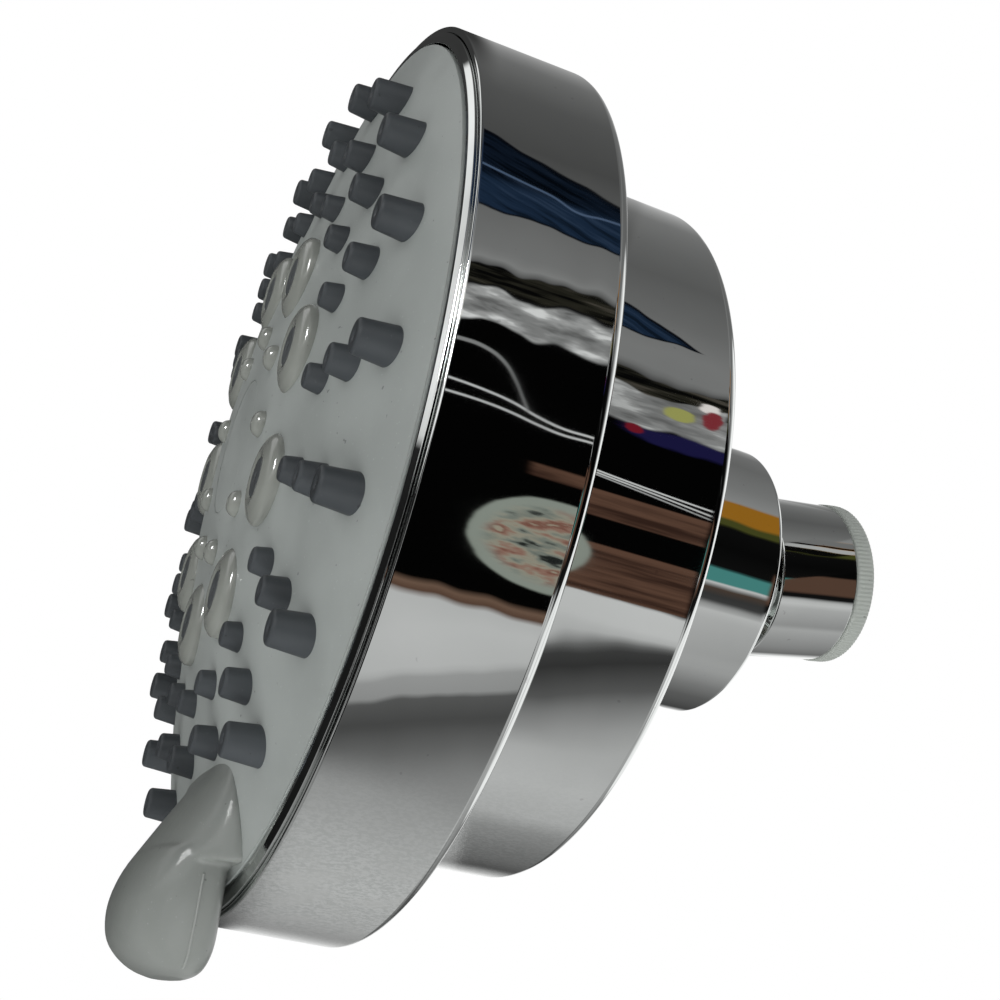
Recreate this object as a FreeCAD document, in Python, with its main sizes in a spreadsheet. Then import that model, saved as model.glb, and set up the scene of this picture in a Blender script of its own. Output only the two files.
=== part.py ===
"""Fixed shower head with a swivel ball inlet, a rubber-nozzle face and a selector lever.

Heights run along the head's axis from the rim plane, positive toward the inlet, so the
spray face lies below zero. The inlet pieces are drawn from the ball's centre instead.
Every piece is then placed so that the middle of the inlet's mouth is the origin.
"""
import FreeCAD, Part
import math
import os
import Sketcher

Vector = FreeCAD.Vector

DRIVING_SIZES = {
    # head outline
    "rim_radius": 60.0,
    "rim_rise": 0.9,
    "rim_chamfer": 0.25,
    "bezel_front": 0.75,
    "bezel_flat": 58.35,
    "bezel_slope": 0.45,
    "bezel_radius": 59.1,
    "bezel_height": 2.3,
    "bezel_skirt": 8.0,
    "bezel_wall": 1.0,
    "parting_gap": 0.3,
    "lower_tier_radius": 60.4,
    "lower_tier_top": 18.9,
    "lower_tier_round": 6.5,
    "upper_tier_radius": 48.5,
    "upper_tier_top": 39.4,
    "upper_tier_round": 4.6,
    "shell_wall": 2.5,
    # ball joint
    "ball_height": 55.3,
    "ball_radius": 11.0,
    "ball_flat": 8.5,
    "ball_fit": 0.05,
    "ring_wall": 1.25,
    "liner_low": 2.0,
    "liner_high": 6.6,
    "seat_high": 1.0,
    "seat_low": 7.0,
    "spigot_radius": 17.0,
    "socket_fit": 0.05,
    "socket_flange": 2.0,
    "socket_flange_radius": 20.0,
    "spigot_bore": 8.0,
    "nut_foot_radius": 20.9,
    "nut_head_radius": 20.2,
    "nut_top": 65.3,
    "nut_round": 3.4,
    "nut_mouth": 10.9,
    "nut_lip": 9.6,
    "nut_clearance": 0.1,
    "nut_seal_drop": 3.0,
    "rest_tilt": 8.8,
    # inlet stem
    "stem_length": 30.8,
    "neck_radius": 6.6,
    "neck_bore": 4.2,
    "neck_top": 14.0,
    "socket_base": 15.2,
    "socket_radius": 10.9,
    "thread_radius": 9.3,
    "thread_floor": 17.6,
    "relief_radius": 9.9,
    "relief_gap": 0.1,
    "flange_radius": 12.4,
    "flange_height": 2.9,
    "knurl_depth": 0.45,
    "knurl_half_width": 0.36,
    "knurl_count": 44,
    "sleeve_radius": 12.2,
    "sleeve_bulge": 0.25,
    "sleeve_bottom": 14.8,
    "sleeve_gap": 0.1,
    "washer_radius": 9.75,
    "washer_thickness": 2.0,
    "washer_bore": 5.6,
    "screen_thickness": 0.6,
    "screen_hole": 0.8,
    "screen_pitch": 2.1,
    "restrictor_radius": 5.1,
    "restrictor_pocket": 4.0,
    "restrictor_throat": 1.7,
    # face
    "face_radius": 57.3,
    "face_rise": 8.2,
    "face_wall": 2.2,
    "face_skirt": 4.7,
    "face_skirt_wall": 2.7,
    "turning_gap": 0.3,
    "lever_turn": 21.0,
    "arm_count": 20,
    "large_ring": 49.2,
    "medium_ring": 41.35,
    "small_ring": 34.2,
    "large_nozzle": 2.28,
    "medium_nozzle": 2.0,
    "small_nozzle": 1.77,
    "large_length": 4.0,
    "medium_length": 2.85,
    "small_length": 2.1,
    "nozzle_taper": 0.35,
    "nozzle_chamfer": 0.5,
    "nozzle_bore": 0.55,
    "hole_gap": 0.12,
    "mat_wall": 1.4,
    "mat_inner": 30.5,
    "mat_outer": 53.6,
    "layer_gap": 0.1,
    "cup_count": 9,
    "cup_ring": 24.0,
    "cup_radius": 5.6,
    "cup_round": 1.3,
    "cup_rise": 8.95,
    "plug_radius": 2.8,
    "plug_depth": 1.8,
    "plug_sink": 0.15,
    "plug_bore": 0.7,
    "dome_ring": 15.1,
    "dome_radius": 1.9,
    "dome_rise": 9.85,
    "dome_bore": 0.45,
    "insert_turn": 2.1,
    "insert_wall": 1.5,
    "hub_radius": 9.4,
    "cap_radius": 9.2,
    "cap_wall": 1.5,
    # lever
    "lever_start": 44.0,
    "lever_edge": 54.9,
    "lever_crest_out": 60.4,
    "lever_tip": 66.8,
    "lever_crest": 11.9,
    "lever_back": 1.35,
    "lever_root_half": 16.0,
    "lever_thumb_half": 12.3,
    # works behind the face
    "disc_low": 2.4,
    "disc_bore_ring": 24.0,
    "disc_port": 2.8,
    "port_count": 5,
    "rib_radius": 28.6,
    "rib_wall": 1.0,
    "turbine_low": 2.6,
    "turbine_high": 1.9,
    "turbine_radius": 26.6,
    "turbine_rim": 1.4,
    "turbine_hub": 1.8,
    "vane_count": 8,
    "vane_wall": 1.0,
    "pivot_radius": 3.9,
    "pivot_fit": 0.05,
    "screw_head": 6.3,
    "screw_head_height": 2.6,
    "screw_chamfer": 0.8,
    "screw_slot_depth": 1.8,
    "screw_well": 7.2,
    "screw_well_depth": 3.65,
    "screw_core": 2.75,
    "screw_tip": 15.0,
    "thrust_washer": 0.6,
    "way_low": 5.2,
    "way_wall": 2.8,
    "way_radius": 56.5,
    "tube_radius": 9.5,
    "tube_bore": 7.0,
    "tube_spigot": 3.3,
    "tube_collar": 2.0,
    "rib_toe": 1.0,
    "screw_boss": 5.0,
    "seal_ring": 47.0,
    "seal_wire": 1.0,
    "seal_depth": 1.9,
    "small_wire": 0.7,
    "boss_ring": 51.5,
    "boss_radius": 3.2,
    "boss_count": 6,
    "fixing_core": 1.15,
    "fixing_head": 2.6,
    "fixing_length": 8.0,
    "port_seal_radius": 4.4,
    "port_seal_height": 4.0,
    "port_seal_lift": 0.1,
    "duct_width": 14.0,
    "duct_height": 9.0,
    "duct_wall": 1.6,
    "spring_wire": 0.45,
    "spring_turns": 4,
}

OVERCUT = 1.0  # how far a cutting outline passes the face that it cuts
OVERLAP = 0.5  # how far a rib or vane reaches into what carries it

document = FreeCAD.newDocument("shower_head")
sheet = document.addObject("Spreadsheet::Sheet", "Sizes")


class Size:
    """A number together with the spreadsheet expression that gives it."""

    def __init__(self, value, text):
        self.value = value
        self.text = text

    def join(self, other, sign, value):
        return Size(value, f"({self.text} {sign} {other.text})")

    def __add__(self, other):
        other = as_size(other)
        return self.join(other, "+", self.value + other.value)

    def __radd__(self, other):
        return as_size(other) + self

    def __sub__(self, other):
        other = as_size(other)
        return self.join(other, "-", self.value - other.value)

    def __rsub__(self, other):
        return as_size(other) - self

    def __mul__(self, other):
        other = as_size(other)
        return self.join(other, "*", self.value * other.value)

    def __rmul__(self, other):
        return as_size(other) * self

    def __truediv__(self, other):
        other = as_size(other)
        return self.join(other, "/", self.value / other.value)

    def __rtruediv__(self, other):
        return as_size(other) / self

    def __neg__(self):
        return 0 - self


def as_size(term):
    """Wraps a plain number, so sizes and numbers mix in one sum."""
    return term if isinstance(term, Size) else Size(float(term), repr(float(term)))


def root(term):
    return Size(math.sqrt(term.value), f"sqrt({term.text})")


def sine(degrees):
    return Size(math.sin(math.radians(degrees.value)), f"sin({degrees.text})")


def cosine(degrees):
    return Size(math.cos(math.radians(degrees.value)), f"cos({degrees.text})")


class SizeTable:
    """Writes the driving sizes to the sheet and hands each out by its name."""

    def __init__(self, values):
        for row, (name, value) in enumerate(values.items(), start=1):
            sheet.set(f"A{row}", name)
            sheet.set(f"B{row}", str(value))
            sheet.setAlias(f"B{row}", name)
            setattr(self, name, Size(float(value), f"Sizes.{name}"))


size = SizeTable(DRIVING_SIZES)
document.recompute()


# Places that several pieces share

def ball_edge(radius, height):
    """Radius of a sphere round the ball's centre, at a height from that centre."""
    return root(radius * radius - height * height)


def dome_height(radius, inset=0.0):
    """Height of the domed face at a radius, or of the sphere that lies inset behind it."""
    sphere = (size.face_radius * size.face_radius + size.face_rise * size.face_rise) / (2 * size.face_rise)
    centre = sphere - size.face_rise - size.rim_rise
    inner = sphere - inset
    return centre - root(inner * inner - radius * radius)


def dome_sphere(inset=0.0):
    sphere = (size.face_radius * size.face_radius + size.face_rise * size.face_rise) / (2 * size.face_rise)
    return sphere - inset


seat_sphere = size.ball_radius + size.ring_wall + 2 * size.ball_fit
bezel_bore = size.face_radius + size.turning_gap
skirt_inner = size.face_radius - size.face_skirt_wall
bezel_seat = size.bezel_height + size.layer_gap
rebate_radius = bezel_bore + size.bezel_wall + size.layer_gap
lower_ceiling = size.lower_tier_top - size.shell_wall
upper_ceiling = size.upper_tier_top - size.shell_wall
spigot_top = size.ball_height - size.nut_clearance
well_floor = -(size.rim_rise + size.face_rise) + size.cap_wall + size.screw_well_depth
arm_pitch = 360 / size.arm_count
cup_pitch = 360 / size.cup_count
jet_start = size.insert_turn - 90
cup_start = jet_start + cup_pitch / 2
relief_top = size.thread_floor + size.washer_thickness + size.screen_thickness + size.relief_gap
nut_groove_top = size.ball_height - size.nut_seal_drop
nut_groove_low = nut_groove_top - 3 * size.small_wire
tube_top = upper_ceiling - size.socket_flange
tube_groove_low = tube_top + size.small_wire
insert_outer = size.mat_inner - size.turning_gap
way_top = size.way_low + size.way_wall
duct_top = way_top + size.duct_height


# Drawing helpers

def new_body(label):
    body = document.addObject("PartDesign::Body", label)
    body.Label = label
    return body


def origin_part(body, role):
    return [item for item in body.Origin.OriginFeatures if item.Role == role][0]


def new_sketch(body, name, plane, turn=None, lift=None):
    """Sketch on one of the body's own planes, turned about or lifted along its normal."""
    sketch = body.newObject("Sketcher::SketchObject", name)
    sketch.AttachmentSupport = (origin_part(body, plane), [""])
    sketch.MapMode = "FlatFace"
    turn_axis = Vector(0, 0, 1) if plane == "XY_Plane" else Vector(0, 1, 0)
    if turn is not None:
        sketch.AttachmentOffset = FreeCAD.Placement(Vector(), FreeCAD.Rotation(turn_axis, turn.value))
        sketch.setExpression("AttachmentOffset.Rotation.Angle", turn.text)
    if lift is not None:
        sketch.setExpression("AttachmentOffset.Base.z", lift.text)
    return sketch


def bind(sketch, constraint, length):
    index = sketch.addConstraint(constraint)
    sketch.setExpression(f"Constraints[{index}]", length.text)


def pin_point(sketch, line, end, across, along):
    """Fixes one end of a line at two sizes from the sketch's origin."""
    for kind, axis_line, length in (("DistanceX", -2, across), ("DistanceY", -1, along)):
        if abs(length.value) < 1e-9:
            sketch.addConstraint(Sketcher.Constraint("PointOnObject", line, end, axis_line))
        else:
            bind(sketch, Sketcher.Constraint(kind, -1, 1, line, end, length.value), length)


def arc_between(start, end, radius):
    """Arc from start to end, turning left for a positive radius and right for a negative one."""
    chord = end - start
    middle = (start + end) * 0.5
    reach = math.sqrt(max(radius * radius - chord.Length ** 2 / 4, 0.0))
    left = Vector(-chord.y, chord.x, 0).normalize()
    centre = middle + left * (reach if radius > 0 else -reach)
    first, last = (start, end) if radius > 0 else (end, start)
    from_angle = math.atan2(first.y - centre.y, first.x - centre.x)
    to_angle = math.atan2(last.y - centre.y, last.x - centre.x)
    circle = Part.Circle(centre, Vector(0, 0, 1), abs(radius))
    return Part.ArcOfCircle(circle, from_angle, to_angle)


def draw_outline(sketch, points):
    """Closed outline. A point is (across, along), or (across, along, radius) where the edge that
    leaves it is an arc."""
    corners = [tuple(as_size(term) for term in point) for point in points]
    places = [Vector(corner[0].value, corner[1].value, 0) for corner in corners]
    ends = []
    for index, corner in enumerate(corners):
        start = places[index]
        finish = places[(index + 1) % len(places)]
        if len(corner) == 2:
            line = sketch.addGeometry(Part.LineSegment(start, finish), False)
            ends.append((line, 1, 2))
        else:
            radius = corner[2]
            line = sketch.addGeometry(arc_between(start, finish, radius.value), False)
            ends.append((line, 1, 2) if radius.value > 0 else (line, 2, 1))
    for index, (line, first, last) in enumerate(ends):
        after, after_first, _ = ends[(index + 1) % len(ends)]
        sketch.addConstraint(Sketcher.Constraint("Coincident", line, last, after, after_first))
    for (line, first, _), corner in zip(ends, corners):
        pin_point(sketch, line, first, corner[0], corner[1])
        if len(corner) == 3:
            radius = corner[2]
            swept = radius if radius.value > 0 else -radius
            bind(sketch, Sketcher.Constraint("Radius", line, abs(radius.value)), swept)


def draw_circle(sketch, across, along, radius):
    across, along, radius = as_size(across), as_size(along), as_size(radius)
    centre = Vector(across.value, along.value, 0)
    ring = sketch.addGeometry(Part.Circle(centre, Vector(0, 0, 1), radius.value), False)
    pin_point(sketch, ring, 3, across, along)
    bind(sketch, Sketcher.Constraint("Radius", ring, radius.value), radius)


def revolve(body, name, points, cut=False):
    """Turns an outline of (radius, height) points about the piece's axis."""
    sketch = new_sketch(body, f"{name}_outline", "XZ_Plane")
    draw_outline(sketch, points)
    kind = "PartDesign::Groove" if cut else "PartDesign::Revolution"
    feature = body.newObject(kind, name)
    feature.Profile = sketch
    feature.ReferenceAxis = (sketch, ["V_Axis"])
    feature.Angle = 360
    return feature


def revolve_aside(body, name, turn, ring, points):
    """Turns an outline about a line that stands off the axis by ring, at an angle of turn."""
    sketch = new_sketch(body, f"{name}_outline", "XZ_Plane", turn=turn)
    draw_outline(sketch, [(ring + point[0],) + tuple(point[1:]) for point in points])
    low, high = as_size(-20), as_size(20)
    line = Part.LineSegment(Vector(ring.value, low.value, 0), Vector(ring.value, high.value, 0))
    spine = sketch.addGeometry(line, True)
    pin_point(sketch, spine, 1, ring, low)
    pin_point(sketch, spine, 2, ring, high)
    feature = body.newObject("PartDesign::Revolution", name)
    feature.Profile = sketch
    feature.ReferenceAxis = (sketch, ["Axis0"])
    feature.Angle = 360
    return feature


def bore(body, name, turn, ring, radius):
    """Round hole along the axis and right through, at an angle of turn and a radius of ring."""
    sketch = new_sketch(body, f"{name}_circle", "XY_Plane", turn=turn)
    draw_circle(sketch, ring, 0, radius)
    feature = body.newObject("PartDesign::Pocket", name)
    feature.Profile = sketch
    feature.Type = "ThroughAll"
    feature.Midplane = True
    return feature


def extrude(body, name, sketch, length, cut=False, reverse=False, both_ways=False):
    kind = "PartDesign::Pocket" if cut else "PartDesign::Pad"
    feature = body.newObject(kind, name)
    feature.Profile = sketch
    feature.setExpression("Length", as_size(length).text)
    feature.Reversed = reverse
    feature.Midplane = both_ways
    return feature


def repeat(body, name, features, count, angle=None):
    """Copies features round the axis: over the full turn, or over the angle given."""
    pattern = body.newObject("PartDesign::PolarPattern", name)
    pattern.Originals = features
    pattern.Axis = (origin_part(body, "Z_Axis"), [""])
    pattern.Angle = 360
    if angle is not None:
        pattern.setExpression("Angle", angle.text)
    pattern.setExpression("Occurrences", count.text)
    body.Tip = pattern
    return pattern


# Placing helpers: the inlet's mouth is the origin

def put_on_head(piece, lift=0, aside=0):
    """Head pieces hang upright under the tilted stem, here lifted or moved aside along Y."""
    drop = -size.stem_length * cosine(size.rest_tilt) - size.ball_height
    piece.setExpression("Placement.Base.y", (aside - size.stem_length * sine(size.rest_tilt)).text)
    piece.setExpression("Placement.Base.z", (drop + lift).text)
    return piece


def put_on_face(piece):
    """Face pieces turn with the lever, which rests some way off the front."""
    piece.Placement = FreeCAD.Placement(Vector(), FreeCAD.Rotation(Vector(0, 0, 1), -size.lever_turn.value))
    piece.setExpression("Placement.Rotation.Angle", "-Sizes.lever_turn")
    return put_on_head(piece)


def put_on_inlet(piece):
    """Inlet pieces lean with the stem about the ball's centre."""
    piece.Placement = FreeCAD.Placement(Vector(), FreeCAD.Rotation(Vector(1, 0, 0), -size.rest_tilt.value))
    piece.setExpression("Placement.Rotation.Angle", "-Sizes.rest_tilt")
    piece.setExpression("Placement.Base.y", "-Sizes.stem_length * sin(Sizes.rest_tilt)")
    piece.setExpression("Placement.Base.z", "-Sizes.stem_length * cos(Sizes.rest_tilt)")
    return piece


def o_ring(label, height, ring_radius, wire):
    """Round-section ring about the axis."""
    ring = document.addObject("Part::Torus", label)
    ring.Label = label
    ring.setExpression("Radius1", ring_radius.text)
    ring.setExpression("Radius2", wire.text)
    return put_on_head(ring, height)


# Chrome casing

def build_trim_ring():
    body = new_body("trim_ring")
    skirt_radius = bezel_bore + size.bezel_wall
    revolve(body, "bezel", [
        (bezel_bore, -size.bezel_front),
        (size.bezel_flat, -size.bezel_front),
        (size.bezel_radius, size.bezel_slope - size.bezel_front),
        (size.bezel_radius, size.bezel_height),
        (skirt_radius, size.bezel_height),
        (skirt_radius, size.bezel_skirt),
        (bezel_bore, size.bezel_skirt),
    ])
    return put_on_head(body)


def build_rear_shell():
    body = new_body("rear_shell")
    lower_inner = size.lower_tier_radius - size.shell_wall
    revolve(body, "tiers", [
        (size.bezel_radius + size.layer_gap, 0),
        (size.rim_radius - size.rim_chamfer, 0),
        (size.rim_radius, size.rim_chamfer),
        (size.lower_tier_radius, size.lower_tier_top - size.lower_tier_round, size.lower_tier_round),
        (size.lower_tier_radius - size.lower_tier_round, size.lower_tier_top),
        (size.upper_tier_radius, size.lower_tier_top),
        (size.upper_tier_radius, size.upper_tier_top - size.upper_tier_round, size.upper_tier_round),
        (size.upper_tier_radius - size.upper_tier_round, size.upper_tier_top),
        (size.spigot_radius + size.socket_fit, size.upper_tier_top),
        (size.spigot_radius + size.socket_fit, upper_ceiling),
        (size.upper_tier_radius - size.shell_wall, upper_ceiling),
        (size.upper_tier_radius - size.shell_wall, lower_ceiling),
        (lower_inner, lower_ceiling),
        (lower_inner, size.bezel_skirt + size.layer_gap),
        (rebate_radius, size.bezel_skirt + size.layer_gap),
        (rebate_radius, bezel_seat),
        (size.bezel_radius + size.layer_gap, bezel_seat),
    ])
    boss_sketch = new_sketch(body, "boss_circle", "XY_Plane", lift=way_top)
    draw_circle(boss_sketch, size.boss_ring, 0, size.boss_radius)
    boss = extrude(body, "screw_boss", boss_sketch, lower_ceiling + size.shell_wall / 2 - way_top)
    repeat(body, "screw_bosses", [boss], size.boss_count)
    core_sketch = new_sketch(body, "core_circle", "XY_Plane", lift=way_top)
    draw_circle(core_sketch, size.boss_ring, 0, size.fixing_core + size.pivot_fit)
    core = extrude(body, "screw_core_hole", core_sketch, size.fixing_length, cut=True, reverse=True)
    repeat(body, "screw_core_holes", [core], size.boss_count)
    return put_on_head(body)


def build_ball_socket():
    """Threaded spigot that clamps the shell from inside and carries the ball's seat."""
    body = new_body("ball_socket")
    revolve(body, "spigot", [
        (size.spigot_bore, upper_ceiling - size.socket_flange),
        (size.socket_flange_radius, upper_ceiling - size.socket_flange),
        (size.socket_flange_radius, upper_ceiling),
        (size.spigot_radius, upper_ceiling),
        (size.spigot_radius, spigot_top),
        (ball_edge(seat_sphere, size.nut_clearance), spigot_top, -seat_sphere),
        (size.spigot_bore, size.ball_height - ball_edge(seat_sphere, size.spigot_bore)),
    ])
    revolve(body, "seal_groove", [
        (size.spigot_radius - 2 * size.small_wire, nut_groove_low),
        (size.spigot_radius + OVERCUT, nut_groove_low),
        (size.spigot_radius + OVERCUT, nut_groove_top),
        (size.spigot_radius - 2 * size.small_wire, nut_groove_top),
    ], cut=True)
    return put_on_head(body)


def build_ball_nut():
    body = new_body("ball_nut")
    bore_radius = size.spigot_radius + size.nut_clearance
    lip_height = size.ball_height + ball_edge(seat_sphere, size.nut_lip)
    revolve(body, "cap", [
        (bore_radius, size.upper_tier_top + size.parting_gap),
        (size.nut_foot_radius, size.upper_tier_top + size.parting_gap),
        (size.nut_head_radius, size.nut_top - size.nut_round, size.nut_round),
        (size.nut_head_radius - size.nut_round, size.nut_top),
        (size.nut_mouth, size.nut_top),
        (size.nut_lip, lip_height, -seat_sphere),
        (seat_sphere, size.ball_height),
        (bore_radius, size.ball_height),
    ])
    return put_on_head(body)


def ball_ring(label, low, high):
    """Ring that lies on the ball between two heights from the ball's centre."""
    body = new_body(label)
    inner = size.ball_radius + size.ball_fit
    outer = inner + size.ring_wall
    revolve(body, "zone", [
        (ball_edge(inner, low), size.ball_height + low),
        (ball_edge(outer, low), size.ball_height + low, outer),
        (ball_edge(outer, high), size.ball_height + high),
        (ball_edge(inner, high), size.ball_height + high, -inner),
    ])
    return put_on_head(body)


# Inlet pieces, drawn from the ball's centre

def build_ball_stem():
    body = new_body("ball_stem")
    flange_low = size.stem_length - size.flange_height
    revolve(body, "stem", [
        (size.neck_bore, -size.ball_flat),
        (ball_edge(size.ball_radius, size.ball_flat), -size.ball_flat, size.ball_radius),
        (size.neck_radius, ball_edge(size.ball_radius, size.neck_radius)),
        (size.neck_radius, size.neck_top),
        (size.socket_radius, size.socket_base),
        (size.socket_radius, flange_low),
        (size.flange_radius, flange_low),
        (size.flange_radius, size.stem_length),
        (size.thread_radius, size.stem_length),
        (size.thread_radius, relief_top),
        (size.relief_radius, relief_top),
        (size.relief_radius, size.thread_floor),
        (size.restrictor_radius + size.layer_gap, size.thread_floor),
        (size.restrictor_radius + size.layer_gap, size.thread_floor - size.restrictor_pocket),
        (size.neck_bore, size.thread_floor - size.restrictor_pocket),
    ])
    notch_sketch = new_sketch(body, "knurl_outline", "XY_Plane", lift=flange_low)
    draw_outline(notch_sketch, [
        (size.flange_radius - size.knurl_depth, 0),
        (size.flange_radius + size.knurl_depth, -2 * size.knurl_half_width),
        (size.flange_radius + size.knurl_depth, 2 * size.knurl_half_width),
    ])
    notch = extrude(body, "knurl_notch", notch_sketch, size.flange_height, cut=True, reverse=True)
    repeat(body, "knurl", [notch], size.knurl_count)
    return put_on_inlet(body)


def build_inlet_sleeve():
    body = new_body("inlet_sleeve")
    inner = size.socket_radius + size.sleeve_gap
    low = size.sleeve_bottom
    high = size.stem_length - size.flange_height - size.sleeve_gap
    half_run = (high - low) / 2
    bulge = (half_run * half_run + size.sleeve_bulge * size.sleeve_bulge) / (2 * size.sleeve_bulge)
    revolve(body, "sleeve", [
        (inner, size.socket_base),
        (inner, low),
        (size.sleeve_radius, low, bulge),
        (size.sleeve_radius, high),
        (inner, high),
    ])
    return put_on_inlet(body)


def build_inlet_washer():
    body = new_body("inlet_washer")
    revolve(body, "washer", [
        (size.washer_bore, size.thread_floor),
        (size.washer_radius, size.thread_floor),
        (size.washer_radius, size.thread_floor + size.washer_thickness),
        (size.washer_bore, size.thread_floor + size.washer_thickness),
    ])
    return put_on_inlet(body)


def build_filter_screen():
    body = new_body("filter_screen")
    low = size.thread_floor + size.washer_thickness
    disc_sketch = new_sketch(body, "disc_circle", "XY_Plane", lift=low)
    draw_circle(disc_sketch, 0, 0, size.washer_radius)
    extrude(body, "disc", disc_sketch, size.screen_thickness)
    no_turn = as_size(0)
    bore(body, "middle_hole", no_turn, as_size(0), size.screen_hole)
    for ring, count in ((1, 6), (2, 12)):
        hole = bore(body, f"ring_hole_{ring}", no_turn, ring * size.screen_pitch, size.screen_hole)
        repeat(body, f"ring_holes_{ring}", [hole], as_size(count))
    return put_on_inlet(body)


def build_flow_restrictor():
    body = new_body("flow_restrictor")
    low = size.thread_floor - size.restrictor_pocket + size.layer_gap
    high = size.thread_floor - size.layer_gap
    throat = size.restrictor_throat
    revolve(body, "restrictor", [
        (throat, low),
        (size.restrictor_radius, low),
        (size.restrictor_radius, high),
        (size.restrictor_radius - throat / 2, high),
        (throat, high - throat),
    ])
    return put_on_inlet(body)


# Works between the casing and the face

def build_water_way():
    body = new_body("water_way")
    spigot_outer = size.spigot_bore - size.nut_clearance
    spigot_high = tube_top + size.tube_spigot
    tube_inner = size.tube_bore
    revolve(body, "plate_and_tube", [
        (size.screw_core, size.way_low),
        (size.way_radius, size.way_low),
        (size.way_radius, way_top),
        (size.tube_radius, way_top),
        (size.tube_radius, tube_top),
        (spigot_outer, tube_top),
        (spigot_outer, spigot_high),
        (size.screw_boss, spigot_high),
        (size.screw_boss, tube_top - size.tube_collar),
        (tube_inner, tube_top - 2 * size.tube_collar),
        (tube_inner, way_top),
        (size.screw_boss, way_top),
        (size.screw_boss, size.screw_tip + size.way_wall / 2),
        (size.screw_core, size.screw_tip + size.way_wall / 2),
    ])
    revolve(body, "face_seal_groove", [
        (size.seal_ring - size.seal_wire, size.way_low - OVERCUT),
        (size.seal_ring + size.seal_wire, size.way_low - OVERCUT),
        (size.seal_ring + size.seal_wire, size.way_low + size.seal_depth),
        (size.seal_ring - size.seal_wire, size.way_low + size.seal_depth),
    ], cut=True)
    revolve(body, "tube_seal_groove", [
        (spigot_outer - 2 * size.small_wire, tube_groove_low),
        (spigot_outer + OVERCUT, tube_groove_low),
        (spigot_outer + OVERCUT, tube_groove_low + 2 * size.small_wire),
        (spigot_outer - 2 * size.small_wire, tube_groove_low + 2 * size.small_wire),
    ], cut=True)
    duct_far = size.disc_bore_ring + size.duct_width / 2
    duct_sketch = new_sketch(body, "duct_outline", "XY_Plane", lift=way_top)
    near_tube = (size.tube_radius + size.tube_bore) / 2
    draw_outline(duct_sketch, [
        (-size.duct_width / 2, near_tube),
        (size.duct_width / 2, near_tube),
        (size.duct_width / 2, duct_far),
        (-size.duct_width / 2, duct_far),
    ])
    extrude(body, "duct", duct_sketch, size.duct_height)
    hollow_sketch = new_sketch(body, "hollow_outline", "XY_Plane", lift=way_top)
    half_hollow = size.duct_width / 2 - size.duct_wall
    draw_outline(hollow_sketch, [
        (-half_hollow, size.screw_boss + size.duct_wall),
        (half_hollow, size.screw_boss + size.duct_wall),
        (half_hollow, duct_far - size.duct_wall),
        (-half_hollow, duct_far - size.duct_wall),
    ])
    extrude(body, "hollow", hollow_sketch, size.duct_height - size.duct_wall, cut=True, reverse=True)
    bore(body, "port", as_size(90), size.disc_bore_ring, size.port_seal_radius + size.nut_clearance)
    screw_hole = bore(body, "fixing_hole", as_size(0), size.boss_ring, size.fixing_core + 3 * size.layer_gap)
    well_sketch = new_sketch(body, "well_circle", "XY_Plane", lift=size.way_low + size.way_wall / 2)
    draw_circle(well_sketch, size.boss_ring, 0, size.fixing_head + size.layer_gap)
    well = extrude(body, "fixing_well", well_sketch, size.way_wall, cut=True)
    repeat(body, "fixing_holes", [screw_hole, well], size.boss_count)
    rib_sketch = new_sketch(body, "rib_outline", "XZ_Plane")
    draw_outline(rib_sketch, [
        (size.tube_radius - OVERLAP, way_top - OVERLAP),
        (size.boss_ring - size.boss_radius - 2 * size.rib_toe, way_top - OVERLAP),
        (size.boss_ring - size.boss_radius - 2 * size.rib_toe, way_top + size.rib_toe),
        (size.tube_radius - OVERLAP, duct_top),
    ])
    rib = extrude(body, "rib", rib_sketch, size.duct_wall, both_ways=True)
    repeat(body, "ribs", [rib], size.boss_count / 2)
    return put_on_head(body)


def build_chamber_screws():
    """Identical pan-head screws, each turned from the same outline."""
    screws = []
    head_low = size.way_low + size.layer_gap
    head_high = size.way_low + size.way_wall / 2
    for index in range(int(size.boss_count.value)):
        turn = index * 360 / size.boss_count
        head = document.addObject("Part::Cylinder", f"fixing_head_{index}")
        shank = document.addObject("Part::Cylinder", f"fixing_shank_{index}")
        head.setExpression("Radius", size.fixing_head.text)
        head.setExpression("Height", (head_high - head_low).text)
        shank.setExpression("Radius", size.fixing_core.text)
        shank.setExpression("Height", (size.way_wall / 2 + size.fixing_length - OVERCUT).text)
        for piece, low in ((head, head_low), (shank, head_high)):
            piece.setExpression("Placement.Base.x", (size.boss_ring * cosine(turn)).text)
            piece.setExpression("Placement.Base.y", (size.boss_ring * sine(turn)).text)
            piece.setExpression("Placement.Base.z", low.text)
        screw = document.addObject("Part::MultiFuse", f"fixing_screw_{index}")
        screw.Shapes = [head, shank]
        screws.append(screw)
    group = document.addObject("Part::Compound", "chamber_screws")
    group.Label = "chamber_screws"
    group.Links = screws
    return put_on_head(group)


def build_port_seal():
    """Rubber tube that stands beside the axis, on the side that the ports pass."""
    body = new_body("port_seal")
    sketch = new_sketch(body, "seal_circles", "XY_Plane", lift=size.face_skirt + size.port_seal_lift)
    draw_circle(sketch, 0, size.disc_bore_ring, size.port_seal_radius)
    draw_circle(sketch, 0, size.disc_bore_ring, size.disc_port)
    extrude(body, "seal", sketch, size.port_seal_height)
    return put_on_head(body)


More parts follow.
